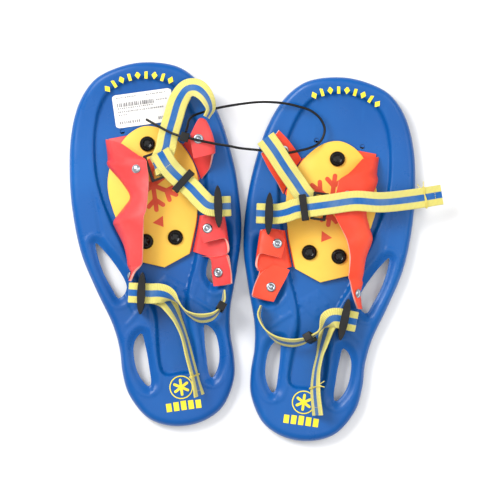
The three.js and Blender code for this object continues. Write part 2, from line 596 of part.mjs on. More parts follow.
function shoe(side) {
  const face = side === 'left' ? (geometry) => geometry : mirrored;
  const group = new THREE.Group();
  const add = (name, geometry, look) => group.add(piece(`${side}_${name}`, face(geometry), look));

  add('deck', deck(), 'deck');
  add('foot_plate', footPlate(), 'plate');
  add('harness_base', harnessBase(), 'harness');
  for (const [place, at] of Object.entries(BOLTS)) {
    add(`bolt_${place}`, bolt(at), 'black');
    add(`nut_${place}`, nut(at), 'steel');
  }
  const seats = Object.entries(RIVETS).map(([name, { sheet, [side]: [u, v] }]) => (
    { name, sheet, seat: seatOn(SHEETS[sheet][side], u, v) }
  ));
  for (const [name, { [side]: rows, steps, across }] of Object.entries(SHEETS)) {
    const own = seats.filter((s) => s.sheet === name).map((s) => s.seat);
    add(name, sheetWithHoles(rows, steps, across, own), 'harness');
  }
  for (const { name, seat } of seats) add(`rivet_${name}`, rivet(seat), 'steel');
  add('toe_strap', webbing(TOE_STRAP[side]), 'webbing');
  add('heel_strap', webbing(HEEL_STRAP[side]), 'webbing');

  const shapes = {
    toe_lock: ladderLock(), heel_lock: ladderLock(),
    toe_hook: ring(27, 15, 2.8, 22.4, 9).rotateX(Math.PI / 2),
  };
  for (const [name, geometry] of Object.entries(shapes)) {
    const [x, y, z, turn] = HARDWARE[name][side];
    geometry.rotateZ(THREE.MathUtils.degToRad(turn)).translate(x, y, z);
    add(name, geometry, 'black');
  }
  const toeRing = ring(...TOE_SLIDER);
  const heelRing = ring(...HEEL_SLIDER);
  add('toe_slider', ringOn(TOE_STRAP[side], SLIDER_STATION.toe_slider[side], toeRing, 2), 'black');
  add('heel_slider', ringOn(HEEL_STRAP[side], SLIDER_STATION.heel_slider[side], heelRing, 0), 'black');
  return group;
}

// ---------- price label on the left deck ----------
const LABEL = { x: 1, y: 133.5, width: 58, height: 32, thick: 0.4 };

function priceLabel() {
  const rows = 8;
  const grid = [];
  for (let i = 0; i <= rows; i++) {
    const y = LABEL.y + LABEL.height * (i / rows - 0.5);
    const z = PANEL_TOP + noseRise(y) + 0.8;
    grid.push([V(LABEL.x - LABEL.width / 2, y, z), V(LABEL.x + LABEL.width / 2, y, z)]);
  }
  return thickSheet(grid, LABEL.thick);
}

// ---------- cable tie that holds the pair together, in the pair's own frame ----------
const TIE_DIAMETER = 2.4;
const TIE_HEAD = { at: [-68.5, 110.3, 50], turn: 166, size: [8, 9, 5.5], slot: 3.6 };
const TIE_ROUTE = [
  [-67.3, 115.4, 48.8], [-65.8, 121, 45.5], [-64.6, 126.5, 41], [-60.5, 131.2, 36], [-52, 134.6, 32],
  [-41, 138, 30.6], [-25, 141.3, 30.6], [3.9, 144.8, 30], [26.2, 143.8, 28], [40.4, 140.9, 26],
  [53.4, 136.5, 24], [62.6, 128.6, 22], [66.5, 119.5, 21], [65.1, 111.7, 21], [60, 104.6, 22],
  [50.5, 100.1, 25], [40.4, 97.6, 28.5], [31, 95.8, 31], [17, 96.5, 32], [3.9, 98.1, 33.5],
  [-15.5, 100, 39], [-25.3, 101.8, 43.5], [-38.9, 103.8, 48.8], [-50, 106, 50.6], [-60, 108.2, 50.3],
  [-68.5, 110.3, 50], [-76, 112.2, 48.6], [-84, 115.6, 45], [-95, 121.6, 39], [-106, 128, 33.5],
];

function tieStrap() {
  const path = new THREE.CatmullRomCurve3(TIE_ROUTE.map(([x, y, z]) => V(x, y, z)), false, 'centripetal');
  const section = new THREE.Shape();
  section.absarc(0, 0, TIE_DIAMETER / 2, 0, 2 * Math.PI);
  const tube = new THREE.ExtrudeGeometry(section, {
    extrudePath: path, steps: 66, curveSegments: 4, bevelEnabled: false,
  });
  return geometryOf(solid(tube));
}

function tieHead() {
  const [length, width, height] = TIE_HEAD.size;
  const body = new THREE.BoxGeometry(length, width, height);
  const slot = new THREE.BoxGeometry(length * 2, TIE_HEAD.slot, TIE_HEAD.slot);
  return cut(body, [slot]);
}

// ---------- the pair ----------
const pair = new THREE.Group();
const left = shoe('left');
left.position.set(LEFT_X, LEFT_Y, 0);
left.rotation.z = THREE.MathUtils.degToRad(SHOE_TURN);
left.add(piece('price_label', priceLabel(), 'label'));
const right = shoe('right');
right.position.set(RIGHT_X, RIGHT_Y, 0);
right.rotation.z = THREE.MathUtils.degToRad(-SHOE_TURN);
const head = piece('tie_head', tieHead(), 'black');
head.position.set(...TIE_HEAD.at);
head.rotation.z = THREE.MathUtils.degToRad(TIE_HEAD.turn);
pair.add(left, right, head, piece('tie_strap', tieStrap(), 'black'));

export default pair;
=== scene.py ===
"""A pair of child's moulded snowshoes: the looks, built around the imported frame.

Each shoe's numbers are in millimetres in its own layout: x towards the inner side, y towards the
toe, z up. place() turns them into the pair's frame, in metres.
"""
import math
import random

import bmesh
import bpy
import numpy as np
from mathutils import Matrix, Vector
from mathutils.geometry import delaunay_2d_cdt
from mathutils.kdtree import KDTree


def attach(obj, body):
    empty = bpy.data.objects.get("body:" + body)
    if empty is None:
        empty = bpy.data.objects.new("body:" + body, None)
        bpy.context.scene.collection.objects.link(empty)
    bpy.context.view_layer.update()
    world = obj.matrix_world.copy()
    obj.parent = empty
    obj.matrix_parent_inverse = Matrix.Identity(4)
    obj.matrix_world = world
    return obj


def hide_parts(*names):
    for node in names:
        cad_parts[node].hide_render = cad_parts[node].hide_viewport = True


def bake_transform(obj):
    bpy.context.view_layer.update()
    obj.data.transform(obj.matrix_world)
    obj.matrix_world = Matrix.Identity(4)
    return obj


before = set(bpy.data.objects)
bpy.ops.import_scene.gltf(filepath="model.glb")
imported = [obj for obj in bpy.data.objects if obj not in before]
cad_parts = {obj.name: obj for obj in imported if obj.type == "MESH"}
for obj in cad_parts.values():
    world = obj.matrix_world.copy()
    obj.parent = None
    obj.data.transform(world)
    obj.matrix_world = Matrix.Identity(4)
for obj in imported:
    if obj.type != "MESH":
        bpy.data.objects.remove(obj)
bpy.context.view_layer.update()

# ---------- driving dimensions, the same as the frame's ----------
MM = 0.001
TURN = math.radians(7.9)
ORIGIN = {"left": (-91.8, 7.2), "right": (65.4, -7.4)}
SIDES = ("left", "right")

HALF_LENGTH = 177.8
PANEL_TOP = 12
SHELL = 3
RIM_RISE = 4.5
CREST = PANEL_TOP + RIM_RISE
NOSE_RISE = 11
NOSE_START = 112
SKIRT_BOTTOM = 4
EDGE_TOP = 8
SHOULDER = 8
BASE_Z = 12.3
SHEET = 2
PLATE_Z = 14.6
PLATE = 3
PLATE_TOP = PLATE_Z + PLATE
WEB_WIDTH = 19.5
WEB = 1.5
FOLD_Z = BASE_Z + SHEET / 2


def place(side, x, y, z):
    """A point of a shoe's own layout, in the pair's frame, in metres."""
    sign = 1 if side == "left" else -1
    c, s = math.cos(TURN), math.sin(TURN)
    ox, oy = ORIGIN[side]
    return Vector((ox + sign * (c * x - s * y), oy + s * x + c * y, z)) * MM


# ---------- curves ----------
def spline(points, t, closed=False):
    """Point at t from 0 to 1 of a centripetal Catmull-Rom curve through the points."""
    count = len(points)
    spans = count if closed else count - 1
    u = min(max(t, 0.0), 1.0) * spans
    i = min(int(u), spans - 1)
    w = u - i

    def at(k):
        if closed:
            return points[k % count]
        if k < 0:
            return 2 * points[0] - points[1]
        if k >= count:
            return 2 * points[-1] - points[-2]
        return points[k]

    p0, p1, p2, p3 = (at(k) for k in (i - 1, i, i + 1, i + 2))
    d0, d1, d2 = (max(float(np.linalg.norm(b - a)), 1e-6) ** 0.5 for a, b in ((p0, p1), (p1, p2), (p2, p3)))
    t1 = ((p1 - p0) / d0 - (p2 - p0) / (d0 + d1) + (p2 - p1) / d1) * d1
    t2 = ((p2 - p1) / d1 - (p3 - p1) / (d1 + d2) + (p3 - p2) / d2) * d1
    return p1 + t1 * w + (3 * (p2 - p1) - 2 * t1 - t2) * w**2 + (2 * (p1 - p2) + t1 + t2) * w**3


def curve_points(points, steps, closed=False):
    """steps + 1 points along the curve, or steps points if it is closed."""
    array = [np.array(p, float) for p in points]
    count = steps if closed else steps + 1
    return np.array([spline(array, i / steps, closed) for i in range(count)])


def unit(v):
    return v / max(float(np.linalg.norm(v)), 1e-9)


# ---------- meshes ----------
def link(obj):
    bpy.context.scene.collection.objects.link(obj)
    return obj


def build(name, verts, faces, materials, body, stands_for=(), face_material=None,
          sharp=40, ride=True):
    """A piece from points in metres; its faces are turned outwards."""
    mesh = bpy.data.meshes.new(name)
    mesh.from_pydata([tuple(v) for v in verts], [], faces)
    for material in materials:
        mesh.materials.append(material)
    if face_material is not None:
        mesh.polygons.foreach_set("material_index", face_material)
    bm = bmesh.new()
    bm.from_mesh(mesh)
    bmesh.ops.recalc_face_normals(bm, faces=bm.faces)
    bm.to_mesh(mesh)
    bm.free()
    mesh.shade_smooth()
    mesh.set_sharp_from_angle(angle=math.radians(sharp))
    obj = link(bpy.data.objects.new(name, mesh))
    if ride:
        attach(obj, body)
    if stands_for:
        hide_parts(*stands_for)
    return obj


def loft(loops, closed_loop=True, caps=True, first=0):
    """Faces that join equal rings of points, numbered from first."""
    rings, count = len(loops), len(loops[0])
    faces = []
    for r in range(rings - 1):
        for c in range(count if closed_loop else count - 1):
            d = (c + 1) % count
            a = first + r * count
            faces.append((a + c, a + d, a + count + d, a + count + c))
    if caps:
        faces.append(tuple(first + k for k in reversed(range(count))))
        faces.append(tuple(first + (rings - 1) * count + k for k in range(count)))
    return faces


def grid_sheet(grid, thickness):
    """Points and faces of a sheet of even thickness over a grid, and which faces are its cut edge."""
    grid = np.asarray(grid, float)
    lengthways = np.gradient(grid, axis=0)
    across = np.gradient(grid, axis=1)
    normal = np.cross(lengthways, across)
    normal /= np.maximum(np.linalg.norm(normal, axis=2, keepdims=True), 1e-9)
    rows, cols = grid.shape[:2]
    verts = np.concatenate([(grid + normal * thickness / 2).reshape(-1, 3),
                            (grid - normal * thickness / 2).reshape(-1, 3)])
    size = rows * cols
    faces, edge = [], []
    for r in range(rows - 1):
        for c in range(cols - 1):
            a, b, d, e = r * cols + c, r * cols + c + 1, (r + 1) * cols + c + 1, (r + 1) * cols + c
            faces += [(a, b, d, e), (size + a, size + e, size + d, size + b)]
            edge += [0, 0]
    rim = [(r * cols, (r + 1) * cols) for r in range(rows - 1)]
    rim += [((r + 1) * cols - 1, (r + 2) * cols - 1) for r in range(rows - 1)]
    rim += [(c, c + 1) for c in range(cols - 1)]
    rim += [(size - cols + c, size - cols + c + 1) for c in range(cols - 1)]
    for a, b in rim:
        faces.append((a, b, size + b, size + a))
        edge.append(1)
    return verts, faces, edge


def arched(rows, steps, across_steps):
    """Grid over rows of three control points, each row a smooth arch."""
    lines = [curve_points([row[k] for row in rows], steps) for k in range(3)]
    t = np.linspace(0, 1, across_steps + 1)[None, :, None]
    a, b, c = (line[:, None, :] for line in lines)
    return a * (1 - t) ** 2 + 2 * b * t * (1 - t) + c * t**2


def tube(path, section, ways=None):
    """Rings of a section of [across, up] points swept along a path; ways gives the across direction."""
    path = np.asarray(path, float)
    tangent = np.gradient(path, axis=0)
    rings = []
    side = np.array([0.0, 0.0, 1.0])
    for i, p in enumerate(path):
        along = unit(tangent[i])
        if ways is not None:
            across = ways[i] - along * float(ways[i] @ along)
        else:
            across = np.cross(along, side)
        across = unit(across)
        up = np.cross(across, along)
        rings.append([p + across * a + up * b for a, b in section])
    return rings


def lathe(profile, sides, centre, axis):
    """Points and faces of a turned body on [radius, height] points, about an axis at a centre."""
    axis = Vector(axis).normalized()
    turn = Vector((0, 0, 1)).rotation_difference(axis)
    verts = []
    for r, h in profile:
        for k in range(sides):
            a = 2 * math.pi * k / sides
            verts.append(Vector(centre) + turn @ Vector((r * math.cos(a), r * math.sin(a), h)))
    faces = loft([range(sides)] * len(profile))
    return verts, faces


def prism(outline, z0, z1, first=0):
    """Points and faces of an upright prism."""
    verts = [(x, y, z0) for x, y in outline] + [(x, y, z1) for x, y in outline]
    return verts, loft([outline, outline], first=first)


def inset(outline, amount):
    """A closed plan outline moved inwards by an amount; the outline runs anticlockwise."""
    pts = np.asarray(outline, float)
    ahead, behind = np.roll(pts, -1, axis=0), np.roll(pts, 1, axis=0)
    way = ahead - behind
    way /= np.maximum(np.linalg.norm(way, axis=1, keepdims=True), 1e-9)
    return pts + np.stack([-way[:, 1], way[:, 0]], axis=1) * amount


def anticlockwise(outline):
    pts = np.asarray(outline, float)
    x, y = pts[:, 0], pts[:, 1]
    area = float(np.sum(x * np.roll(y, -1) - np.roll(x, -1) * y))
    return pts if area > 0 else pts[::-1]


# ---------- materials ----------
def srgb(*rgb):
    """A colour given in 0-255 steps as the shader's linear values."""
    values = [c / 255 for c in rgb]
    return tuple(c / 12.92 if c <= 0.04045 else ((c + 0.055) / 1.055) ** 2.4 for c in values) + (1.0,)


class Shader:
    """A material and short calls for its nodes."""

    def __init__(self, name, roughness, metallic=0.0):
        self.material = bpy.data.materials.new(name)
        self.material.use_nodes = True
        self.tree = self.material.node_tree
        self.bsdf = self.tree.nodes["Principled BSDF"]
        self.bsdf.inputs["Roughness"].default_value = roughness
        self.bsdf.inputs["Metallic"].default_value = metallic
        self.bsdf.inputs["Specular IOR Level"].default_value = 0.3 if metallic < 0.5 else 0.5

    def node(self, kind, **values):
        node = self.tree.nodes.new(kind)
        for key, value in values.items():
            setattr(node, key, value)
        return node

    def link(self, source, target):
        self.tree.links.new(source, target)

    def coordinates(self, stretch=(1, 1, 1), source="Object"):
        place_node = self.node("ShaderNodeMapping")
        place_node.inputs["Scale"].default_value = stretch
        self.link(self.node("ShaderNodeTexCoord").outputs[source], place_node.inputs["Vector"])
        return place_node.outputs["Vector"]

    def noise(self, scale, detail=3, stretch=(1, 1, 1), rough=0.5):
        node = self.node("ShaderNodeTexNoise")
        node.inputs["Scale"].default_value = scale
        node.inputs["Detail"].default_value = detail
        node.inputs["Roughness"].default_value = rough
        self.link(self.coordinates(stretch), node.inputs["Vector"])
        return node.outputs["Fac"]

    def map(self, value, low, high, to_low, to_high):
        node = self.node("ShaderNodeMapRange")
        for key, number in (("From Min", low), ("From Max", high), ("To Min", to_low), ("To Max", to_high)):
            node.inputs[key].default_value = number
        self.link(value, node.inputs["Value"])
        return node.outputs["Result"]

    def math(self, operation, a, b=None):
        node = self.node("ShaderNodeMath", operation=operation)
        for socket, value in zip(node.inputs, (a, b)):
            if value is None:
                continue
            if isinstance(value, (int, float)):
                socket.default_value = value
            else:
                self.link(value, socket)
        return node.outputs["Value"]

    def mix(self, factor, a, b):
        node = self.node("ShaderNodeMix", data_type="RGBA")
        for socket, value in ((node.inputs[0], factor), (node.inputs[6], a), (node.inputs[7], b)):
            if isinstance(value, (tuple, float, int)):
                socket.default_value = value
            else:
                self.link(value, socket)
        return node.outputs[2]

    def colour(self, value):
        if isinstance(value, tuple):
            self.bsdf.inputs["Base Color"].default_value = value
        else:
            self.link(value, self.bsdf.inputs["Base Color"])

    def rough(self, value):
        self.link(value, self.bsdf.inputs["Roughness"])

    def bump(self, height, strength, distance):
        node = self.node("ShaderNodeBump")
        node.inputs["Strength"].default_value = strength
        node.inputs["Distance"].default_value = distance
        self.link(height, node.inputs["Height"])
        self.link(node.outputs["Normal"], self.bsdf.inputs["Normal"])


def deck_plastic():
    """Blue moulded plastic: mottled colour, a fine pebble grain, and rubbed streaks."""
    s = Shader("deck_plastic", 0.34)
    mottle = s.map(s.noise(9, 4), 0.3, 0.7, 0, 1)
    base = s.mix(mottle, srgb(3, 78, 152), srgb(8, 94, 170))
    streaks = s.map(s.noise(60, 2, (1, 0.12, 1)), 0.62, 0.8, 0, 0.35)
    s.colour(s.mix(streaks, base, srgb(26, 110, 186)))
    s.rough(s.map(s.noise(38, 4), 0.3, 0.75, 0.24, 0.46))
    s.bump(s.noise(1500, 2), 0.12, 0.0004)
    return s.material


def plate_plastic():
    """Yellow sheet plastic, with a warmer shade in patches and a satin face."""
    s = Shader("plate_plastic", 0.5)
    s.colour(s.mix(s.map(s.noise(14, 3), 0.3, 0.7, 0, 1), srgb(244, 188, 66), srgb(250, 208, 88)))
    s.rough(s.map(s.noise(80, 3), 0.3, 0.7, 0.42, 0.6))
    s.bump(s.noise(900, 3), 0.1, 0.0003)
    return s.material


def harness_vinyl(name, deep, light):
    """Flexible red sheet: soft shine, faint grain, and lighter patches spread at random."""
    s = Shader(name, 0.45)
    s.colour(s.mix(s.map(s.noise(16, 4), 0.32, 0.68, 0, 1), deep, light))
    s.rough(s.map(s.noise(120, 3), 0.3, 0.7, 0.36, 0.55))
    s.bump(s.noise(1100, 3), 0.14, 0.0003)
    s.bsdf.inputs["Subsurface Weight"].default_value = 0.12
    s.bsdf.inputs["Subsurface Radius"].default_value = (0.004, 0.0015, 0.001)
    s.bsdf.inputs["Subsurface Scale"].default_value = 0.5
    return s.material


def plain_grain(name, dark, light, roughness, metallic=0.0, grain=700):
    """A grained material of two close shades, for the small parts."""
    s = Shader(name, roughness, metallic)
    s.colour(s.mix(s.map(s.noise(90, 4), 0.3, 0.7, 0, 1), dark, light))
    s.rough(s.map(s.noise(160, 4), 0.3, 0.7, max(roughness - 0.1, 0.05), roughness + 0.1))
    s.bump(s.noise(grain, 3), 0.15, 0.0002)
    return s.material


def webbing_cloth():
    """Woven webbing: thirds of yellow, blue and yellow, cross ribs and warp lines in the bump, and the same ribs and
    lines painted into the colour as painted shade in the hollows and painted highlight on the crests.
    """
    s = Shader("webbing_cloth", 0.8)
    split = s.node("ShaderNodeSeparateXYZ")
    s.link(s.node("ShaderNodeTexCoord").outputs["UV"], split.inputs["Vector"])
    along, across = split.outputs["X"], split.outputs["Y"]
    ribs = s.math("SINE", s.math("MULTIPLY", along, 2 * math.pi / 1.25))
    warps = s.math("SINE", s.math("MULTIPLY", across, 2 * math.pi * 21))
    frayed = s.math("ADD", across, s.math("MULTIPLY", ribs, 0.008))
    off_centre = s.math("ABSOLUTE", s.math("SUBTRACT", frayed, 0.5))
    blue = s.map(off_centre, 0.155, 0.17, 1, 0)
    weave_relief_and_painted_shade = s.math("ADD", s.math("MULTIPLY", ribs, 0.6), s.math("MULTIPLY", s.math("MULTIPLY", ribs, warps), 0.4))
    # Painted shade and highlight: each colour is darker in the weave's hollows and lighter on its crests, keyed to the
    # same height as the bump.
    yellow = s.mix(s.map(weave_relief_and_painted_shade, -1, 1, 0, 1), srgb(206, 192, 92), srgb(240, 230, 132))
    azure = s.mix(s.map(weave_relief_and_painted_shade, -1, 1, 0, 1), srgb(4, 72, 140), srgb(24, 116, 196))
    faded = s.map(s.noise(45, 3), 0.4, 0.8, 0, 0.25)
    s.colour(s.mix(faded, s.mix(blue, yellow, azure), srgb(176, 186, 150)))
    s.bump(weave_relief_and_painted_shade, 0.55, 0.0004)
    s.bsdf.inputs["Sheen Weight"].default_value = 0.25
    s.bsdf.inputs["Sheen Roughness"].default_value = 0.5
    return s.material


MAT = {
    "deck": deck_plastic(),
    "plate": plate_plastic(),
    "harness_left": harness_vinyl("harness_vinyl_left", srgb(216, 60, 60), srgb(234, 82, 80)),
    "harness_right": harness_vinyl("harness_vinyl_right", srgb(236, 62, 36), srgb(248, 84, 54)),
    "cut_edge": plain_grain("vinyl_cut_edge", srgb(236, 150, 136), srgb(250, 190, 176), 0.6),
    "webbing": webbing_cloth(),
    "black": plain_grain("black_plastic", srgb(6, 6, 6), srgb(18, 17, 16), 0.38),
    "cap": plain_grain("black_cap", srgb(5, 5, 5), srgb(14, 12, 11), 0.2, grain=300),
    "steel": plain_grain("nickel_plate", srgb(150, 156, 164), srgb(206, 210, 214), 0.26, 1.0, 400),
    "paper": plain_grain("label_paper", srgb(232, 231, 228), srgb(248, 247, 244), 0.62),
    "ink": plain_grain("label_ink", srgb(120, 118, 120), srgb(160, 158, 160), 0.6),
    "print": plain_grain("red_print", srgb(214, 72, 44), srgb(232, 96, 60), 0.5),
    "paint": plain_grain("yellow_paint", srgb(240, 216, 40), srgb(252, 232, 70), 0.4),
    "thread": plain_grain("yellow_thread", srgb(214, 196, 92), srgb(240, 226, 128), 0.85, grain=2500),
}


def finish_node(name, material, bevel):
    """A frame node kept as it is, with softened edges and its own material."""
    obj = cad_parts[name]
    obj.data.materials.clear()
    obj.data.materials.append(material)
    weld = obj.modifiers.new("weld", "WELD")
    weld.merge_threshold = 1e-5
    soft = obj.modifiers.new("soft_edges", "BEVEL")
    soft.width = bevel * MM
    soft.segments = 2
    soft.limit_method = "ANGLE"
    soft.angle_limit = math.radians(32)
    obj.modifiers.new("even_normals", "WEIGHTED_NORMAL")


# ---------- camera, light and floor ----------
CAMERA_HEIGHT = 3.0
PICTURE_WIDTH = 0.4858              # metres across the picture at the decks


def camera_and_light():
    scene = bpy.context.scene
    scene.view_settings.view_transform = "Standard"
    camera = bpy.data.cameras.new("camera")
    camera.sensor_width = 36
    camera.lens = camera.sensor_width * (CAMERA_HEIGHT - PANEL_TOP * MM) / PICTURE_WIDTH
    eye = link(bpy.data.objects.new("camera", camera))
    eye.location = (-0.0058, 0.0019, CAMERA_HEIGHT)
    scene.camera = eye
    world = bpy.data.worlds.new("studio")
    world.use_nodes = True
    world.node_tree.nodes["Background"].inputs["Color"].default_value = (1.0, 1.0, 1.0, 1.0)
    world.node_tree.nodes["Background"].inputs["Strength"].default_value = 0.6
    scene.world = world
    lamps = [("key", (-0.9, 0.7, 1.3), 0.7, 24), ("fill", (1.1, 0.3, 1.3), 1.0, 7), ("top", (0.0, -0.2, 2.2), 1.6, 10)]
    for name, spot, size, power in lamps:
        lamp = bpy.data.lights.new(name, "AREA")
        lamp.size = size
        lamp.energy = power
        obj = link(bpy.data.objects.new(name, lamp))
        obj.location = spot
        obj.rotation_euler = (-Vector(spot)).to_track_quat("-Z", "Y").to_euler()


def floor():
    s = Shader("floor_paint", 0.9)
    s.colour(s.mix(s.map(s.noise(3, 2), 0.3, 0.7, 0, 1), (0.93, 0.93, 0.93, 1), (0.96, 0.96, 0.96, 1)))
    half = 6.0
    mesh = bpy.data.meshes.new("floor")
    mesh.from_pydata([(-half, -half, -0.0004), (half, -half, -0.0004), (half, half, -0.0004), (-half, half, -0.0004)],
                     [], [(0, 1, 2, 3)])
    mesh.materials.append(s.material)
    link(bpy.data.objects.new("floor", mesh))


# ---------- the cable tie, a stiff cord in the pair's own frame, in metres ----------
TIE_WIDTH = 0.0024
TIE_ROUTE = [
    (-0.0673, 0.1154, 0.0488), (-0.0658, 0.121, 0.0455), (-0.0646, 0.1265, 0.041), (-0.0605, 0.1312, 0.036),
    (-0.052, 0.1346, 0.032), (-0.041, 0.138, 0.0306), (-0.025, 0.1413, 0.0306), (0.0039, 0.1448, 0.03),
    (0.0262, 0.1438, 0.028), (0.0404, 0.1409, 0.026), (0.0534, 0.1365, 0.024), (0.0626, 0.1286, 0.022),
    (0.0665, 0.1195, 0.021), (0.0651, 0.1117, 0.021), (0.06, 0.1046, 0.022), (0.0505, 0.1001, 0.025),
    (0.0404, 0.0976, 0.0285), (0.031, 0.0958, 0.031), (0.017, 0.0965, 0.032), (0.0039, 0.0981, 0.0335),
    (-0.0155, 0.1, 0.039), (-0.0253, 0.1018, 0.0435), (-0.0389, 0.1038, 0.0488), (-0.05, 0.106, 0.0506),
    (-0.06, 0.1082, 0.0503), (-0.0685, 0.1103, 0.05), (-0.076, 0.1122, 0.0486), (-0.084, 0.1156, 0.045),
    (-0.095, 0.1216, 0.039), (-0.106, 0.128, 0.0335),
]


def cable_tie():
    path = curve_points(TIE_ROUTE, 232)
    half, thick = TIE_WIDTH / 2, TIE_WIDTH * 0.36
    section = [(half * math.cos(a), thick * math.sin(a)) for a in np.linspace(0, 2 * math.pi, 12, endpoint=False)]
    rings = tube(path, section)
    verts = [p for ring in rings for p in ring]
    strap = build("cable_tie", verts, loft(rings), [MAT["black"]], "pair", ["tie_strap"], sharp=60)
    finish_node("tie_head", MAT["black"], 0.5)


# ---------- deck ----------
OUTLINE = [
    (0, 177.8), (28, 173.5), (44, 166), (60, 148), (72.5, 118), (79.5, 78), (81.4, 44), (78.6, 2),
    (69, -35), (57.5, -72), (54.4, -95), (54.8, -118), (51.5, -140), (37, -164.5), (20, -174.5), (0, -177.8),
]
PANEL_HALF = [                      # y, half width
    (-124, 15), (-60, 16), (-20, 30), (9, 39), (27, 45), (52, 51), (76, 53.5), (100, 52),
    (121, 48), (140, 41), (154, 30), (161, 12),
]
MID_OPENING = [
    (63, 10), (54.7, -0.5), (45.8, -16), (40.2, -29), (39.2, -37), (43, -43.5), (48.6, -46),
    (53.5, -36), (59.5, -20), (63, -2),
]
REAR_OPENING = [
    (31, -83), (29, -95), (28.2, -114), (29, -133), (31.5, -134.5), (37, -127.5), (40.4, -118),
    (41.5, -105), (40.3, -94), (36.5, -86.5),
]
LACE_HOLES = [(22.5, 114), (-22.5, 114)]
GRID = 2.0                          # spacing of the deck's mesh
RIDGES = [                          # raised ribs: ends, half width, height
    ((20, -60), (27, -142), 2.2, 0.9), ((24, -56), (44, -73), 3.0, 0.9), ((30, -40), (21, -58), 2.6, 0.8),
]
PIPS = [(0, -36), (9, -42), (16.5, -46), (12.6, -53), (0, -48)]


def polygon_distance(points, polygon):
    """Distance from each point to a closed line."""
    best = np.full(len(points), 1e9)
    for a, b in zip(polygon, np.roll(polygon, -1, axis=0)):
        way = b - a
        t = np.clip(((points - a) @ way) / max(float(way @ way), 1e-12), 0, 1)
        best = np.minimum(best, np.linalg.norm(points - a - t[:, None] * way, axis=1))
    return best


def within(points, polygon):
    x, y = points[:, 0], points[:, 1]
    result = np.zeros(len(points), bool)
    for (x0, y0), (x1, y1) in zip(polygon, np.roll(polygon, -1, axis=0)):
        crosses = (y0 > y) != (y1 > y)
        result ^= crosses & (x < (x1 - x0) * (y - y0) / (y1 - y0 + 1e-12) + x0)
    return result


def both_sides(half):
    """A right-hand half outline, nose first, closed by its mirror image."""
    return list(half) + [(-x, y) for x, y in reversed(half) if x > 0]


def ease(value):
    value = np.clip(value, 0, 1)
    return value * value * (3 - 2 * value)


def dense(outline, steps):
    return anticlockwise(curve_points(outline, steps, closed=True)[:, :2])


DECK_EDGE = dense([(x, y, 0) for x, y in both_sides(OUTLINE)], 420)
PANEL_SIDE = [(0, 163), *[(half, y) for y, half in reversed(PANEL_HALF)], (0, -126)]
PANEL_EDGE = dense([(x, y, 0) for x, y in both_sides(PANEL_SIDE)], 330)
OPENINGS = [
    dense([(side * x, y, 0) for x, y in half], 70) for half in (MID_OPENING, REAR_OPENING) for side in (1, -1)
]


def deck_heights(points):
    """Top and underside of the deck over plan points."""
    x, y = points[:, 0], points[:, 1]
    edge = polygon_distance(points, DECK_EDGE)
    inside = np.where(within(points, PANEL_EDGE), 1, -1) * polygon_distance(points, PANEL_EDGE)
    hole = np.min([polygon_distance(points, outline) for outline in OPENINGS], axis=0)
    top = CREST - RIM_RISE * ease((inside + 1.6) / 3.2)
    top = top + 0.15 * ease(1 - np.abs(inside + 3.2) / 2.2)
    top = top - 0.8 * ease(1 - np.abs(edge - 24) / 3) * (inside < -6) * (y > -60)
    near_hole = ease(1 - hole / 7) * (inside < 2)
    top = top - 3.4 * near_hole
    top = top + 0.7 * ease(1 - np.abs(hole - 9) / 3) * (inside < -2)
    for a, b, half_width, height in RIDGES:
        for mirror in (1, -1):
            a2, b2 = np.array([a[0] * mirror, a[1]]), np.array([b[0] * mirror, b[1]])
            way = b2 - a2
            t = np.clip(((points - a2) @ way) / float(way @ way), 0, 1)
            away = np.linalg.norm(points - a2 - t[:, None] * way, axis=1)
            top = top + height * ease(1 - away / half_width) * ease(hole / 4)
    pad = ease(1 - (np.abs(x) / 19 + np.abs(y + 44) / 14 - 0.9) * 4)
    top = top + 0.7 * pad
    for px, py in PIPS + [(-px, py) for px, py in PIPS if px > 0]:
        top = top + 0.9 * ease(1 - np.hypot(x - px, y - py) / 2.6)
    fall = 1 - np.clip(edge / SHOULDER, 0, 1)
    top = EDGE_TOP + (top - EDGE_TOP) * np.sqrt(np.maximum(1 - fall**2.4, 0))
    under = np.where(edge < 2.5, SKIRT_BOTTOM, np.minimum(top - SHELL, SKIRT_BOTTOM + (edge - 2.5) * 3))
    lift = NOSE_RISE * np.maximum(0, (y - NOSE_START) / (HALF_LENGTH - NOSE_START)) ** 2
    return top + lift, np.minimum(under, top - 1.5) + lift


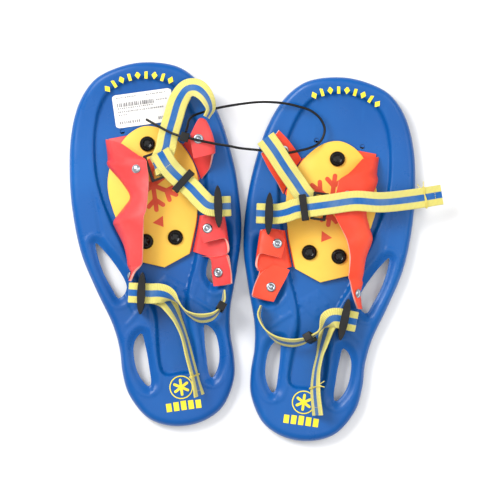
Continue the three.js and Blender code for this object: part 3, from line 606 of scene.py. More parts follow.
def deck_plan():
    """Points and triangles that cover the deck's plan, finer at its creases, holes left open."""
    rings = [DECK_EDGE, *OPENINGS]
    for cx, cy in LACE_HOLES:
        angles = np.linspace(0, 2 * math.pi, 20, endpoint=False)
        rings.append(np.stack([cx + 2.5 * np.cos(angles), cy + 2.5 * np.sin(angles)], axis=1))
    loose = [inset(PANEL_EDGE, d) for d in (-3.2, -1.6, -0.5, 0.5, 1.6)]
    loose += [inset(DECK_EDGE, d) for d in (0.5, 1.2, 2.4, 2.7, 4.2, 6.2, 8.2)]
    loose += [inset(o, -d) for o in OPENINGS for d in (1.2, 3, 5)]
    fixed = np.concatenate(loose)
    tree = KDTree(len(fixed))
    for i, (x, y) in enumerate(fixed):
        tree.insert((x, y, 0), i)
    tree.balance()
    xs = np.arange(-84, 84, GRID)
    ys = np.arange(-180, 180, GRID * 0.87)
    lattice = [(x + (GRID / 2 if r % 2 else 0), y) for r, y in enumerate(ys) for x in xs]
    lattice = [(x, y) for x, y in lattice if tree.find((x, y, 0))[2] > GRID * 0.55]
    free = np.concatenate([fixed, np.array(lattice)])
    keep = within(free, DECK_EDGE) & (polygon_distance(free, DECK_EDGE) > 0.3)
    for ring in rings[1:]:
        keep &= ~within(free, ring) & (polygon_distance(free, ring) > 0.6)
    verts, edges = [], []
    for ring in rings:
        first = len(verts)
        verts += [Vector(p) for p in ring]
        edges += [(first + i, first + (i + 1) % len(ring)) for i in range(len(ring))]
    verts += [Vector(p) for p in free[keep]]
    out_verts, _, triangles, *_ = delaunay_2d_cdt(verts, edges, [], 0, 1e-5)
    points = np.array([tuple(v) for v in out_verts])
    middles = points[np.array(triangles)].mean(axis=1)
    inside = within(middles, DECK_EDGE)
    for ring in rings[1:]:
        inside &= ~within(middles, ring)
    return points, [t for t, good in zip(triangles, inside) if good]


def deck_teeth():
    """Saw-tooth bars under the deck: x from, x to, y, top, number of teeth."""
    panel, rim = PANEL_TOP - 1.2, CREST - 1.2
    bars = [(-43, 43, 116, panel, 7), (-43, 43, 50, panel, 7), (-36, 36, -9, panel - 0.3, 6),
            (-49, -21, -62, rim, 3), (21, 49, -62, rim, 3), (-28, 28, -150, rim, 5)]
    verts, faces = [], []
    for x0, x1, y, top, count in bars:
        pitch = (x1 - x0) / count
        line = [(x0, top), (x0, 5)]
        for i in range(count):
            line += [(x0 + (i + 0.3) * pitch, 0), (x0 + (i + 0.7) * pitch, 0), (x0 + (i + 1) * pitch, 5)]
        line.append((x1, top))
        first = len(verts)
        verts += [(x, y - 2.5, z) for x, z in line] + [(x, y + 2.5, z) for x, z in line]
        faces += loft([line, line], first=first)
    return verts, faces


def decks():
    points, triangles = deck_plan()
    top, under = deck_heights(points)
    count = len(points)
    uses = {}
    for t in triangles:
        for a, b in ((t[0], t[1]), (t[1], t[2]), (t[2], t[0])):
            uses.setdefault((min(a, b), max(a, b)), []).append((a, b))
    faces = [tuple(t) for t in triangles] + [tuple(count + k for k in reversed(t)) for t in triangles]
    faces += [(b, a, count + a, count + b) for pair in uses.values() if len(pair) == 1 for a, b in pair]
    used = sorted({k for f in faces for k in f})
    number = {k: i for i, k in enumerate(used)}
    faces = [tuple(number[k] for k in f) for f in faces]
    teeth, tooth_faces = deck_teeth()
    for side in SIDES:
        verts = [place(side, *points[k % count], (top if k < count else under)[k % count]) for k in used]
        build(f"{side}_deck_shell", verts, faces, [MAT["deck"]], "pair", [f"{side}_deck"], sharp=50)
        build(f"{side}_deck_teeth", [place(side, *p) for p in teeth], tooth_faces, [MAT["deck"]], "pair",
              sharp=30)


# ---------- raised and printed marks, all generic ----------
def blocks(name, shapes, material, body="pair"):
    """Small upright prisms as one piece; each shape is (side, outline, base height, top height)."""
    verts, faces = [], []
    for side, outline, z0, z1 in shapes:
        outline = [tuple(p) for p in anticlockwise(outline)]
        more, new = prism(outline, z0, z1, len(verts))
        verts += [place(side, *p) for p in more]
        faces += new
    return build(name, verts, faces, [material], body, sharp=30)


def stroke(a, b, half, rounding=6):
    """Outline of a bar with round ends."""
    ax, ay = a
    bx, by = b
    lean = math.atan2(by - ay, bx - ax)
    line = []
    for (cx, cy), start in ((b, lean - math.pi / 2), (a, lean + math.pi / 2)):
        for k in range(rounding + 1):
            angle = start + math.pi * k / rounding
            line.append((cx + half * math.cos(angle), cy + half * math.sin(angle)))
    return line


def turned_outline(outline, angle, cx, cy):
    c, s = math.cos(angle), math.sin(angle)
    return [(cx + c * x - s * y, cy + s * x + c * y) for x, y in outline]


def deck_top(x, y):
    return float(deck_heights(np.array([[x, y]], float))[0][0])


def nose_marks(side):
    """A row of plain raised shapes along an arc at the toe."""
    shapes = []
    centre_y, radius, size = 108.5, 57.0, 3.9
    for k in range(9):
        angle = math.radians(90 + (k - 4) * 8.2)
        x, y = radius * math.cos(angle), centre_y + radius * math.sin(angle)
        if k % 2:
            mark = [(-1.5, -size), (1.5, -size), (1.5, size), (-1.5, size)]
        else:
            mark = [(0, -size), (2.9, 0), (0, size), (-2.9, 0)]
        z = deck_top(x, y)
        shapes.append((side, turned_outline(mark, angle - math.pi / 2, x, y), z - 0.8, z + 0.7))
    return shapes


def heel_marks(side):
    """A ring with a plain six-arm star in it, and a row of plain blocks behind."""
    shapes = []
    cx, cy = 0.0, -139.8
    sides = 36
    z = deck_top(cx, cy - 6)
    for k in range(sides):
        a, b = 2 * math.pi * k / sides, 2 * math.pi * (k + 1) / sides
        ring = [(cx + r * math.cos(t), cy + r * math.sin(t)) for r, t in ((10.4, a), (11.4, a), (11.4, b), (10.4, b))]
        shapes.append((side, ring, z - 0.8, z + 0.4))
    for k in range(3):
        angle = math.pi * k / 3 + math.pi / 6
        dx, dy = 7.0 * math.cos(angle), 7.0 * math.sin(angle)
        shapes.append((side, stroke((cx - dx, cy - dy), (cx + dx, cy + dy), 1.3), z - 0.8, z + 0.4 + 0.03 * k))
    for k in range(5):
        x = (k - 2) * 7.2
        lean = 1.0 - 0.05 * abs(k - 2)
        bar = [(x - 2.6, -162), (x + 2.6, -162), (x + 2.6, -162 + 9 * lean), (x - 2.6, -162 + 9 * lean)]
        shapes.append((side, bar, z - 0.8, z + 0.5))
    return shapes


def plate_print(side):
    """A six-arm snow crystal and a small triangle printed on the foot plate."""
    shapes = []
    cx, cy, half = 0.0, 58.0, 2.2
    layer = 0
    for k in range(6):
        angle = math.radians(60 * k + 30)
        c, s = math.cos(angle), math.sin(angle)
        parts = [((0, 0), (24, 0)), ((14, 0), (20, 7)), ((14, 0), (20, -7))]
        for a, b in parts:
            start, end = ((cx + c * x - s * y, cy + s * x + c * y) for x, y in (a, b))
            shapes.append((side, stroke(start, end, half), PLATE_TOP - 0.3, PLATE_TOP + 0.1 + 0.004 * layer))
            layer += 1
    shapes.append((side, [(-5.5, 22), (4.5, 16.5), (5.5, 27.5)], PLATE_TOP - 0.3, PLATE_TOP + 0.1))
    return shapes


def marks():
    blocks("nose_marks", nose_marks("left") + nose_marks("right"), MAT["paint"])
    blocks("heel_marks", heel_marks("left") + heel_marks("right"), MAT["paint"])
    blocks("plate_marks", plate_print("left") + plate_print("right"), MAT["print"])


# ---------- price label ----------
LABEL = {"x": 1, "y": 133.5, "width": 58, "height": 32}


def label_surface(x, y):
    return PANEL_TOP + NOSE_RISE * max(0.0, (y - NOSE_START) / (HALF_LENGTH - NOSE_START)) ** 2 + 0.8


def label():
    """White paper with rounded corners; its print is plain grey bars and dashes."""
    rows, cols, corner = 24, 30, 3.0
    grid = []
    for r in range(rows + 1):
        v = r / rows - 0.5
        y = LABEL["y"] + LABEL["height"] * v
        short = max(0.0, corner - LABEL["height"] * (0.5 - abs(v)))
        cut = corner - math.sqrt(max(corner**2 - short**2, 0))
        half = LABEL["width"] / 2 - cut
        grid.append([tuple(place("left", LABEL["x"] + half * (2 * c / cols - 1), y, label_surface(0, y)))
                     for c in range(cols + 1)])
    verts, faces, edge = grid_sheet(grid, 0.3 * MM)
    build("label", verts, faces, [MAT["paper"]], "pair", ["price_label"], sharp=60)
    rng = random.Random(11)
    shapes = []

    def bar(x0, y0, x1, y1):
        z = label_surface(0, (y0 + y1) / 2) + 0.15
        shapes.append(("left", [(x0, y0), (x1, y0), (x1, y1), (x0, y1)], z - 0.1, z + 0.06))

    left, top = LABEL["x"] - LABEL["width"] / 2, LABEL["y"] + LABEL["height"] / 2
    x = left + 4
    while x < left + 40:
        width = rng.choice((0.5, 0.8, 1.2))
        bar(x, top - 12, x + width, top - 5)
        x += width + rng.choice((0.5, 0.7, 1.1))
    for row, start, stop, height in ((3.6, 4, 22, 1.5), (3.6, 33, 52, 1.5), (10, 42, 53, 1.5), (14, 4, 38, 1.3),
                                     (17.5, 4, 48, 1.8), (20.5, 4, 12, 1.3), (28.5, 4, 23, 3.0), (28.5, 42, 50, 3.4)):
        x = left + start
        while x < left + stop:
            width = rng.uniform(0.7, 1.6)
            bar(x, top - row, x + width, top - row + height)
            x += width + rng.uniform(0.5, 1.0)
    blocks("label_print", shapes, MAT["ink"])


# ---------- foot plate, harness base and bolts ----------
PLATE_HALF = [(0, 116), (14, 112), (26, 102), (37, 86), (43, 69), (44, 54), (41.5, 37)]
BASE_OUTLINE = [
    (-36.8, 108.7), (-17, 109.5), (10, 104), (33.4, 94.5), (41.2, 77), (45.8, 58.5), (38, 48),
    (38, 32), (39, 23), (34, 7), (27.6, -11), (23, -13), (-23, -13), (-27.6, -11), (-34, 7), (-39, 23),
    (-31, 32), (-31, 79), (-37.2, 88),
]
BOLTS = {"front": (0, 98.5), "outer": (-14.5, 5), "inner": (14.5, 5)}


def slab(name, side, outline, z0, thickness, materials, node):
    """A flat sheet with softened rims."""
    outline = anticlockwise(outline)
    z1 = z0 + thickness
    steps = ((0.5, z0), (0.0, z0 + 0.5), (0.0, z1 - 0.6), (0.2, z1 - 0.2), (0.7, z1))
    loops = [[(x, y, z) for x, y in inset(outline, amount)] for amount, z in steps]
    verts = [place(side, *p) for ring in loops for p in ring]
    faces = loft(loops)
    around = (len(steps) - 1) * len(outline)
    which = [1 if k < around and k // len(outline) == 1 else 0 for k in range(len(faces))]
    return build(name, verts, faces, materials, "pair", [node], which, sharp=50)


def plates(side):
    round_part = [(-x, y) for x, y in reversed(PLATE_HALF[1:])] + PLATE_HALF
    curve = curve_points([(x, y, 0) for x, y in round_part], 72)[:, :2]
    corners = [(36.5, 16), (26, -12.5), (0, -22.5), (-26, -12.5), (-36.5, 16)]
    slab(f"{side}_plate", side, [tuple(p) for p in curve] + corners, PLATE_Z, PLATE, [MAT["plate"]] * 2,
         f"{side}_foot_plate")
    slab(f"{side}_harness_sheet", side, BASE_OUTLINE, BASE_Z, SHEET, [MAT[f"harness_{side}"], MAT["cut_edge"]],
         f"{side}_harness_base")


def bolt(side, place_name):
    """Domed cap with a groove, a dished middle and four small drive ribs."""
    x, y = BOLTS[place_name]
    head = PLATE_TOP + 0.3
    profile = [
        (0.01, 4.6), (3, 4.6), (3, head), (7.2, head), (7.45, head + 0.4), (7.4, head + 1.5), (7.0, head + 2.4),
        (6.3, head + 3.1), (5.7, head + 3.4), (5.4, head + 3.1), (5.0, head + 3.1), (4.7, head + 3.6),
        (4.2, head + 3.9), (3.7, head + 3.7), (3.4, head + 2.9), (2.0, head + 2.5), (0.01, head + 2.4),
    ]
    verts, faces = lathe(profile, 40, (x, y, 0), (0, 0, 1))
    verts = [tuple(v) for v in verts]
    for k in range(4):
        angle = math.pi * k / 2 + 0.5
        rib = turned_outline([(1.2, -0.5), (3.8, -0.5), (3.8, 0.5), (1.2, 0.5)], angle, x, y)
        more, new = prism(rib, head + 2.3, head + 3.3, len(verts))
        verts += more
        faces += new
    build(f"{side}_cap_{place_name}", [place(side, *v) for v in verts], faces, [MAT["cap"]], "pair",
          [f"{side}_bolt_{place_name}"], sharp=35)


def nut(side, place_name):
    x, y = BOLTS[place_name]
    top = PANEL_TOP - SHELL - 0.3
    profile = [(3.3, top - 3.6), (5.4, top - 3.6), (5.8, top - 3.2), (6.5, top - 1.5), (6.8, top - 1.1), (6.8, top),
               (3.3, top)]
    rings = [[(x + r * math.cos(a), y + r * math.sin(a), h) for a in np.linspace(0, 2 * math.pi, 32, endpoint=False)]
             for r, h in [*profile, profile[0]]]
    verts = [place(side, *p) for ring in rings[:-1] for p in ring]
    count = 32
    faces = loft(rings[:-1], caps=False)
    last = (len(profile) - 1) * count
    faces += [(last + c, last + (c + 1) % count, (c + 1) % count, c) for c in range(count)]
    build(f"{side}_ring_{place_name}", verts, faces, [MAT["steel"]], "pair", [f"{side}_nut_{place_name}"])


# ---------- harness sheets: rows of one edge, arch control and other edge ----------
WING = {
    "left": [
        [(-39, 108.5, FOLD_Z), (-34, 106, 21), (-24, 101, 25)],
        [(-39, 98, FOLD_Z), (-36, 94, 33), (-9, 87, 38)],
        [(-39.4, 89, FOLD_Z), (-36, 86, 38), (-2.5, 82, 42.5)],
        [(-40.4, 84, 19), (-36, 82, 38), (-2.5, 77, 43)],
        [(-28, 64, 26), (-27, 64, 40), (-2.5, 66, 43.5)],
        [(-22.5, 49, 31), (-18, 49, 44), (-6, 47, 47)],
        [(-31, 39, 26), (-28, 38, 44), (-9, 35, 48)],
        [(-42, 28, 20), (-39, 28, 43), (-12, 29, 48)],
        [(-41.7, 23, 14), (-39, 23, 42), (-13, 24, 48)],
        [(-36.3, 8, FOLD_Z), (-38, 8, 36), (-15.5, 10, 47)],
        [(-30.6, -8, 13.6), (-41, -9, 33), (-18.5, -8, 43)],
        [(-33, -15, 19), (-38, -15, 32), (-20, -15, 41)],
        [(-33, -17.4, 19.5), (-36, -17.4, 31), (-21.5, -17.2, 40)],
        [(-32, -22, 20.5), (-33, -22, 31), (-28, -22, 38)],
        [(-32.5, -26, 20.5), (-34, -26, 30), (-31, -26, 37)],
        [(-34.5, -30.8, 20), (-36, -30.8, 28), (-34, -30.8, 34.5)],
    ],
    "right": [
        [(-39, 106, FOLD_Z), (-34, 104, 21), (-24, 101.5, 25)],
        [(-39, 97, FOLD_Z), (-37, 94, 33), (-13, 86, 38)],
        [(-39.4, 89, FOLD_Z), (-37, 86, 38), (-4, 78, 41)],
        [(-40.8, 83, 19), (-37, 80, 38), (-3.5, 73, 41.5)],
        [(-37, 66, 26), (-33, 66, 40), (-2.5, 63, 41.5)],
        [(-34, 50, 29), (-30, 50, 42), (-3, 47, 41.5)],
        [(-38, 39, 25), (-37, 38, 41), (-11, 34, 43)],
        [(-42.4, 28, 20), (-47, 28, 38), (-16, 27, 44)],
        [(-41.7, 23, 14), (-49, 23, 36), (-19.5, 21, 45)],
        [(-36.3, 8, FOLD_Z), (-47, 8, 33), (-24, 8, 44)],
        [(-30.6, -8, 13.6), (-50, -8, 31), (-25.5, -6, 42)],
        [(-34.6, -15, 20), (-46, -15, 31), (-26, -14, 39)],
        [(-37.5, -17.4, 19.5), (-45, -17.2, 30), (-27.5, -16.6, 38)],
        [(-38.5, -26, 20), (-41, -26, 30), (-31, -26, 36.5)],
        [(-40.5, -35, 20), (-42, -35, 28), (-35, -35, 34.5)],
        [(-43, -42.5, 19), (-43.5, -42.5, 26), (-39, -42.5, 31)],
    ],
}
INNER_TOE_ARM = {
    "left": [
        [(34.8, 94, FOLD_Z), (44.5, 77, FOLD_Z), (47.5, 58, FOLD_Z)],
        [(46, 101, 23), (52, 83, 22), (56, 66, 21)],
        [(57, 110, 33), (61.5, 95, 34), (61.5, 79, 32)],
        [(59, 112, 40), (66, 95, 40), (63, 80, 38)],
        [(54, 115, 44), (58, 97, 44), (57, 79, 43)],
        [(43, 101, 45), (42, 90, 45), (43, 77.5, 44)],
    ],
    "right": [
        [(34.8, 94, FOLD_Z), (44.5, 77, FOLD_Z), (47.5, 58, FOLD_Z)],
        [(41, 101, 19), (48, 84, 19), (54, 67, 19)],
        [(50, 110, 25), (57, 95, 26), (65, 80, 25)],
        [(60, 118, 29), (67, 106, 29), (74, 93, 29)],
    ],
}
INNER_HEEL_ARM = [
    [(41.5, 22.5, FOLD_Z), (36.5, 6, FOLD_Z), (30.2, -11, FOLD_Z)],
    [(42.6, 22.5, 18.6), (38.5, 6, 18.6), (31.8, -12, 18.6)],
    [(52, 23, 19.6), (50, 4, 19.6), (44.5, -17.5, 20)],
    [(63.5, 20.5, 21), (63.5, 3, 21.5), (62.5, -17, 25)],
    [(62.8, 19.5, 24.5), (63.3, 9, 25), (62, -3, 28)],
    [(51, 22, 26.5), (51.5, 9, 27), (52, -3, 28.8)],
    [(39, 14, 26), (39, 6, 26.5), (41, -4, 27.5)],
]
INNER_TAIL = {
    "left": [
        [(45, -20, 20), (54, -20, 21), (63, -19.6, 27)],
        [(45, -34, 19.5), (55, -35, 22), (63, -35, 29)],
        [(45, -47, 20), (54, -48, 24), (61, -47, 31)],
    ],
    "right": [
        [(38, -20, 19.5), (49, -20, 20.5), (60, -19.6, 25)],
        [(38.5, -34, 19.5), (50, -35, 21), (63, -35, 26.5)],
        [(43, -47, 19.5), (53, -47.5, 21.5), (63, -45, 28)],
    ],
}
# Two stretches that the frame leaves out; their heights are judged.
TAIL_ROOT = [                       # joins the inner tail to the edge of the buckle arm
    [(37, -16.4, 18.6), (50, -18.9, 20.4), (62.6, -18.6, 26.4)],
]
BACK_FLAP = {                       # the end of the inner tail, folded back over itself
    "left": [
        [(48, -22, 23.4), (55, -20, 24.4), (61.5, -20, 28.6)],
        [(48, -34, 23), (56, -35, 25.4), (63.4, -35, 31)],
        [(50, -47, 23.6), (56, -47.5, 27), (62.4, -46.5, 33.4)],
    ],
    "right": [
        [(31, -14.5, 22.4), (40, -11.5, 23), (47.5, -11.5, 23)],
        [(34, -24, 22), (47, -22, 23.4), (57.8, -21, 26)],
        [(38.5, -36, 22.2), (51, -36, 24), (62.8, -34, 29)],
        [(42.5, -47, 22.4), (53, -46.5, 25), (63.8, -43.6, 31)],
    ],
}


WING_ROWS = 12                      # rows of the wing; the rest are the heel tail that it runs into


def in_pair(side, grid):
    return [[tuple(place(side, *p)) for p in row] for row in grid]


def sheet_piece(name, side, rows, steps, across, nodes, loop=False):
    """A harness sheet; one that reaches the heel loop is built without riding a body, its points kept in the pair's
    frame.
    """
    verts, faces, edge = grid_sheet(in_pair(side, arched(rows, steps, across)), SHEET * MM)
    materials = [MAT[f"harness_{side}"], MAT["cut_edge"]]
    if not loop:
        return build(name, verts, faces, materials, "pair", nodes, edge, sharp=50)
    obj = build(name, verts, faces, materials, "pair", nodes, edge, sharp=50, ride=False)
    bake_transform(obj)
    return obj


def harness(side):
    sheet_piece(f"{side}_wing", side, WING[side], 110, 26, [f"{side}_outer_wing", f"{side}_outer_tail"], loop=True)
    sheet_piece(f"{side}_toe_arm", side, INNER_TOE_ARM[side], 60, 20, [f"{side}_inner_toe_arm"])
    sheet_piece(f"{side}_buckle_arm", side, INNER_HEEL_ARM, 72, 18, [f"{side}_inner_heel_arm"])
    heel_arm = TAIL_ROOT + INNER_TAIL[side]
    sheet_piece(f"{side}_heel_arm", side, heel_arm, 56, 18, [f"{side}_inner_tail"], loop=True)
    flap = sheet_piece(f"{side}_back_flap", side, BACK_FLAP[side], 30, 16, [])
    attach(flap, f"{side}_heel_loop")


# ---------- rivets ----------
RIVETS = {
    "outer_toe": ("wing_toe", {"left": (0.3, 0.82), "right": (0.36, 0.8)}, False),
    "outer_heel": ("wing_heel", {"left": (0.62, 0.5), "right": (0.4, 0.7)}, False),
    "inner_toe": ("toe_arm", {"left": (0.9, 0.45), "right": (0.62, 0.3)}, True),
    "inner_mid": ("buckle_arm", {"left": (0.9, 0.45), "right": (0.9, 0.45)}, True),
    "inner_heel": ("heel_arm", {"left": (0.5, 0.4), "right": (0.45, 0.4)}, True),
}


def seat_on(rows, u, v):
    """Point and upward normal of a sheet at u along and v across."""
    def at(uu, vv):
        a, b, c = (spline([np.array(row[k], float) for row in rows], uu) for k in range(3))
        return a * (1 - vv) ** 2 + 2 * b * vv * (1 - vv) + c * vv**2

    point = at(u, v)
    normal = unit(np.cross(at(u + 0.02, v) - at(u - 0.02, v), at(u, v + 0.02) - at(u, v - 0.02)))
    return point, normal if normal[2] > 0 else -normal


def rivet(side, name):
    sheet, spots, eyelet = RIVETS[name]
    rows = {"wing_toe": WING[side][:WING_ROWS], "wing_heel": WING[side][WING_ROWS:], "toe_arm": INNER_TOE_ARM[side],
            "buckle_arm": INNER_HEEL_ARM, "heel_arm": INNER_TAIL[side]}[sheet]
    centre, normal = seat_on(rows, *spots[side])
    reach = SHEET / 2
    lift = 3.2 if sheet == "heel_arm" else 0.3
    if eyelet:
        top = [(4.6, reach + lift), (4.7, reach + lift + 0.5), (4.1, reach + lift + 1.2), (3.0, reach + lift + 1.4),
               (2.4, reach + lift + 1.0), (1.9, reach + lift + 0.4), (1.4, reach + lift + 0.9),
               (0.9, reach + lift + 1.1), (0.01, reach + lift + 1.0)]
    else:
        top = [(4.2, reach + lift), (4.3, reach + lift + 0.4), (3.7, reach + lift + 1.2), (2.4, reach + lift + 1.8),
               (0.9, reach + lift + 2.1), (0.01, reach + lift + 2.1)]
    under = [(0.01, -reach - 1.6), (3.2, -reach - 1.5), (3.6, -reach - 1.0), (3.6, -reach - 0.4), (1.6, -reach - 0.4),
             (1.6, reach + lift)]
    verts, faces = lathe(under + top, 28, Vector(centre), Vector(normal))
    body = f"{side}_heel_loop" if name in ("outer_heel", "inner_heel") else "pair"
    build(f"{side}_stud_{name}", [place(side, *v) for v in verts], faces, [MAT["steel"]], body,
          [f"{side}_rivet_{name}"], sharp=45)


# ---------- webbing: x, y, z of the middle line and the way across ----------
TOE_STRAP = {
    "left": [
        (60.5, 115, 47, 0.25, -0.1, -0.96), (65, 122, 47, 0.45, 0.1, -0.88), (63.5, 133, 44.5, 0.6, 0.3, -0.73),
        (55.5, 144, 38, 0.3, 0.85, -0.5), (45.5, 145, 32, -0.35, 0.9, -0.3), (36.5, 136, 30, -0.85, 0.5, -0.1),
        (28, 118, 33, -0.9, 0.43, 0), (21.5, 103, 38, -0.87, 0.5, 0), (17, 90, 41.2, -0.8, 0.6, 0),
        (10, 79, 41.8, -0.3, 0.95, 0), (4.6, 75.5, 37.8, -0.2, 0.98, 0), (10, 74.6, 33.7, -0.15, 0.98, 0),
        (17, 71.5, 35.4, 0.35, 0.93, 0), (23.5, 65, 36.8, 0.62, 0.78, 0), (30, 57.3, 37, 0.7, 0.7, 0),
        (37, 49, 37, 0.7, 0.7, 0), (44, 39, 36.8, 0.65, 0.76, 0), (51, 31, 36.5, 0.3, 0.95, 0),
        (60, 28.5, 36.5, 0.1, 1, 0), (67, 27.8, 37.2, 0.1, 1, 0), (71.5, 27.4, 41.5, 0.1, 1, 0),
        (67, 27.8, 45.8, 0.1, 1, 0), (60, 28.5, 46.5, 0.1, 1, 0), (51, 31, 46, 0.3, 0.95, 0),
        (44, 39, 43.5, 0.65, 0.76, 0), (37, 49, 41, 0.7, 0.7, 0), (30, 57.3, 41, 0.7, 0.7, 0),
        (23.5, 65, 41.6, 0.72, 0.69, 0), (17.5, 74, 44.5, 0.77, 0.64, 0), (11.5, 88, 46.5, 0.85, 0.5, 0),
    ],
    "right": [
        (72, 108.5, 36, 0.7, -0.7, 0), (61, 97, 35.5, 0.7, -0.7, 0), (49, 83, 33.4, 0.75, -0.65, 0),
        (37, 70, 31, 0.7, -0.7, 0), (28, 60, 33, 0.6, -0.8, 0), (19, 52.5, 33.4, 0.3, -0.95, 0),
        (11.8, 50, 37.6, 0.05, -1, 0), (18, 49, 41.3, -0.05, -1, 0), (26, 47, 41, -0.2, -0.98, 0),
        (34, 44.6, 40.4, -0.3, -0.95, 0), (42, 40.4, 38.6, -0.35, -0.93, 0), (50, 37.6, 36.8, -0.2, -0.98, 0),
        (58.5, 36.5, 36.5, -0.1, -1, 0), (65.5, 35.8, 37.2, -0.1, -1, 0), (70, 35.4, 41.5, -0.1, -1, 0),
        (65.5, 35.8, 45.8, -0.1, -1, 0), (58.5, 36.5, 46.5, -0.1, -1, 0), (50, 37.6, 46.3, -0.2, -0.98, 0),
        (42, 40.4, 46, -0.35, -0.93, 0), (34, 44.6, 45.4, -0.3, -0.95, 0), (26, 47, 45, -0.2, -0.98, 0),
        (18, 49, 45.4, -0.25, -0.97, 0), (0, 54, 47.6, -0.25, -0.97, 0), (-22, 60, 49, -0.2, -0.98, 0),
        (-46, 62, 45, -0.1, -1, 0), (-75, 69, 35, -0.2, -0.98, 0), (-104.5, 78, 27, -0.25, -0.97, 0),
    ],
}
HEEL_STRAP = {
    "left": [
        (54.5, -52, 29, 0.05, 0, 1), (52, -63, 29.6, 0.2, 0.2, 0.95), (46, -71, 30.4, 0.15, 0.3, 0.93),
        (38, -75.5, 30, 0.1, 0.42, 0.9), (27, -75.5, 28.6, 0, 0.45, 0.89), (17, -69, 28.8, -0.2, 0.4, 0.89),
        (8, -57, 31.5, -0.3, 0.5, 0.8), (0, -49.5, 34.2, -0.15, 0.8, 0.55), (-8, -46.5, 35.6, 0.05, 0.98, 0.15),
        (-16, -45.6, 35.6, 0.19, 0.98, 0), (-25, -44, 35.6, 0.19, 0.98, 0), (-32, -42.6, 35, 0.19, 0.98, 0),
        (-36.8, -41.7, 30.6, 0.19, 0.98, 0), (-32, -42.6, 26.2, 0.19, 0.98, 0), (-25, -44, 25.6, 0.19, 0.98, 0),
        (-16, -45.6, 25.4, 0.19, 0.98, 0), (-10, -48, 24.8, 0.35, 0.9, -0.2), (-4, -53, 24, 0.5, 0.7, -0.5),
        (1, -61, 23.4, 0.6, 0.4, -0.7), (6, -75, 22.8, 0.4, 0.1, -0.91), (10, -92, 24, 0.3, 0, -0.95),
        (12.5, -113, 27.4, 0.35, 0, -0.94), (15, -134, 27.8, 0.35, 0, -0.94), (16.5, -150, 27, 0.5, 0, -0.85),
    ],
    "right": [
        (54, -52, 29, 0.05, 0, 1), (54.5, -62, 29, 0.15, 0.15, 0.97), (47, -74, 28.8, 0.2, 0.2, 0.95),
        (34, -82.5, 28.4, 0.15, 0.35, 0.92), (20, -84, 28.4, 0, 0.4, 0.91), (10, -81, 29.4, -0.1, 0.4, 0.9),
        (3, -76.5, 30.6, -0.2, 0.38, 0.9), (-4, -70, 31.6, -0.3, 0.45, 0.84), (-10, -61.5, 33.6, -0.25, 0.8, 0.5),
        (-15, -55.5, 35.2, -0.1, 0.98, 0.15), (-20, -54, 35.6, -0.07, 1, 0), (-27.5, -54.5, 35.6, -0.07, 1, 0),
        (-34.5, -55, 35, -0.07, 1, 0), (-39.3, -55.3, 30.6, -0.07, 1, 0), (-34.5, -55, 26.2, -0.07, 1, 0),
        (-27.5, -54.5, 25.6, -0.07, 1, 0), (-20, -54.2, 25.2, 0, 1, 0), (-15, -57.5, 24.6, 0.35, 0.9, -0.25),
        (-12.5, -66, 23.8, 0.6, 0.4, -0.7), (-10.5, -80, 22.8, 0.5, 0, -0.87), (-9, -94, 22.8, 0.3, 0, -0.95),
        (-8, -110, 23.2, 0.35, 0, -0.94), (-9.5, -127, 26.5, 0.45, 0, -0.9), (-15, -150, 27, 0.5, 0, -0.85),
    ],
}


def web_section():
    """Cross-section of the webbing: flat faces and round selvedges."""
    half, thick = WEB_WIDTH / 2, WEB / 2
    upper = [(-half + 0.35, thick * 0.75)] + [(x, thick) for x in np.linspace(-half + 0.9, half - 0.9, 13)]
    upper.append((half - 0.35, thick * 0.75))
    return [(-half, 0), *upper, (half, 0), *[(x, -z) for x, z in reversed(upper)]]


def strap_frame(side, stations, steps):
    """Middle line and ways across of a strap, in the pair's frame, in millimetres."""
    line = curve_points([s[:3] for s in stations], steps)
    ways = curve_points([s[3:] for s in stations], steps)
    middle = np.array([tuple(place(side, *p)) for p in line]) / MM
    tips = np.array([tuple(place(side, *(p + w))) for p, w in zip(line, ways)]) / MM
    return middle, tips - middle


def strap(side, name, stations, body, per_span=9):
    steps = (len(stations) - 1) * per_span
    middle, ways = strap_frame(side, stations, steps)
    section = web_section()
    rings = tube(middle, section, ways)
    verts = [p * MM for ring in rings for p in ring]
    faces = loft(rings)
    obj = build(f"{side}_{name}_webbing", verts, faces, [MAT["webbing"]], body, [f"{side}_{name}"],
                sharp=70)
    run = np.concatenate([[0], np.cumsum(np.linalg.norm(np.diff(middle, axis=0), axis=1))])
    layer = obj.data.uv_layers.new(name="UVMap")
    count = len(section)
    for loop in obj.data.loops:
        ring, k = divmod(loop.vertex_index, count)
        layer.data[loop.index].uv = (run[ring], section[k][0] / WEB_WIDTH + 0.5)
    return middle, ways


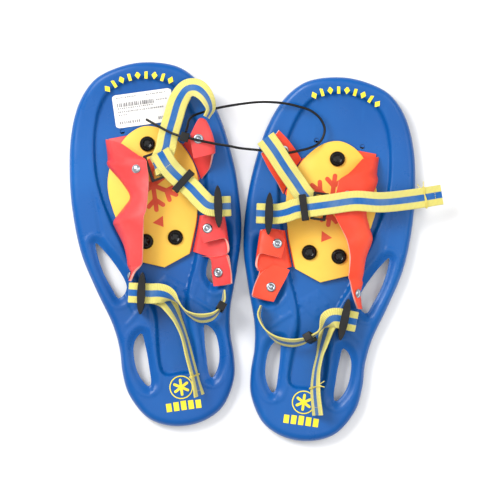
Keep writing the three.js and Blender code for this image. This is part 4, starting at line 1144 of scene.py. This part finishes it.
def thread_tie(name, middle, ways, index, body, turns=2):
    """Thread wound round a strap's end, with two loose tails."""
    along = unit(np.gradient(middle, axis=0)[index])
    across = unit(ways[index] - along * float(ways[index] @ along))
    if across[2] < 0:
        across = -across
    up = np.cross(across, along)
    half, thick = WEB_WIDTH / 2 + 0.4, WEB / 2 + 0.45
    loop = [(half, -thick), (half, thick), (0, thick + 0.2), (-half, thick), (-half, -thick), (0, -thick - 0.2)]
    points = [middle[index] + across * (half + 5) + along * 2 + up * (thick + 1)]
    for turn in range(turns):
        points += [middle[index] + across * a + up * b + along * (0.8 * turn) for a, b in loop]
    points.append(middle[index] + across * (half + 3.5) - along * 4 + up * (thick + 1.6))
    path = curve_points(points, 90)
    section = [(0.42 * math.cos(a), 0.42 * math.sin(a)) for a in np.linspace(0, 2 * math.pi, 6, endpoint=False)]
    rings = tube(path, section)
    build(name, [p * MM for ring in rings for p in ring], loft(rings), [MAT["thread"]], body, sharp=80)


def stitches(name, middle, ways, index, body):
    """A row of stitches across a strap, on both faces."""
    along = unit(np.gradient(middle, axis=0)[index])
    across = unit(ways[index] - along * float(ways[index] @ along))
    up = np.cross(across, along)
    verts, faces = [], []
    for k in range(9):
        centre = middle[index] + across * (k - 4) * 2.0
        for face in (1, -1):
            ring = [centre + across * a + along * b + up * (face * (WEB / 2 + c))
                    for a, b, c in ((-0.75, 0, 0.05), (0, -0.35, 0.25), (0.75, 0, 0.05), (0, 0.35, 0.25))]
            top = centre + up * (face * (WEB / 2 + 0.45))
            first = len(verts)
            verts += [p * MM for p in (*ring, top, centre)]
            faces += [(first + i, first + (i + 1) % 4, first + 4) for i in range(4)]
            faces += [(first + (i + 1) % 4, first + i, first + 5) for i in range(4)]
    build(name, verts, faces, [MAT["thread"]], body, sharp=80)


def straps(side):
    toe = strap(side, "toe_strap", TOE_STRAP[side], "pair")
    heel = strap(side, "heel_strap", HEEL_STRAP[side], f"{side}_heel_loop")
    heel_end = len(heel[0]) - 12
    thread_tie(f"{side}_heel_thread", *heel, heel_end, f"{side}_heel_loop")
    stitches(f"{side}_heel_stitches", *heel, len(heel[0]) - 4, f"{side}_heel_loop")
    if side == "right":
        thread_tie("right_toe_thread", *toe, len(toe[0]) - 6, "pair")
    stitches(f"{side}_toe_stitches", *toe, len(toe[0]) - (10 if side == "left" else 3), "pair")


# ---------- everything ----------
def shoe(side):
    plates(side)
    for place_name in BOLTS:
        bolt(side, place_name)
        nut(side, place_name)
    harness(side)
    for name in RIVETS:
        rivet(side, name)
    straps(side)
    softened = {"toe_lock": 0.7, "heel_lock": 0.7, "toe_hook": 0.6, "toe_slider": 0.6, "heel_slider": 0.6}
    for node, soften in softened.items():
        finish_node(f"{side}_{node}", MAT["black"], soften)


camera_and_light()
floor()
cable_tie()
decks()
marks()
label()
for each in SIDES:
    shoe(each)
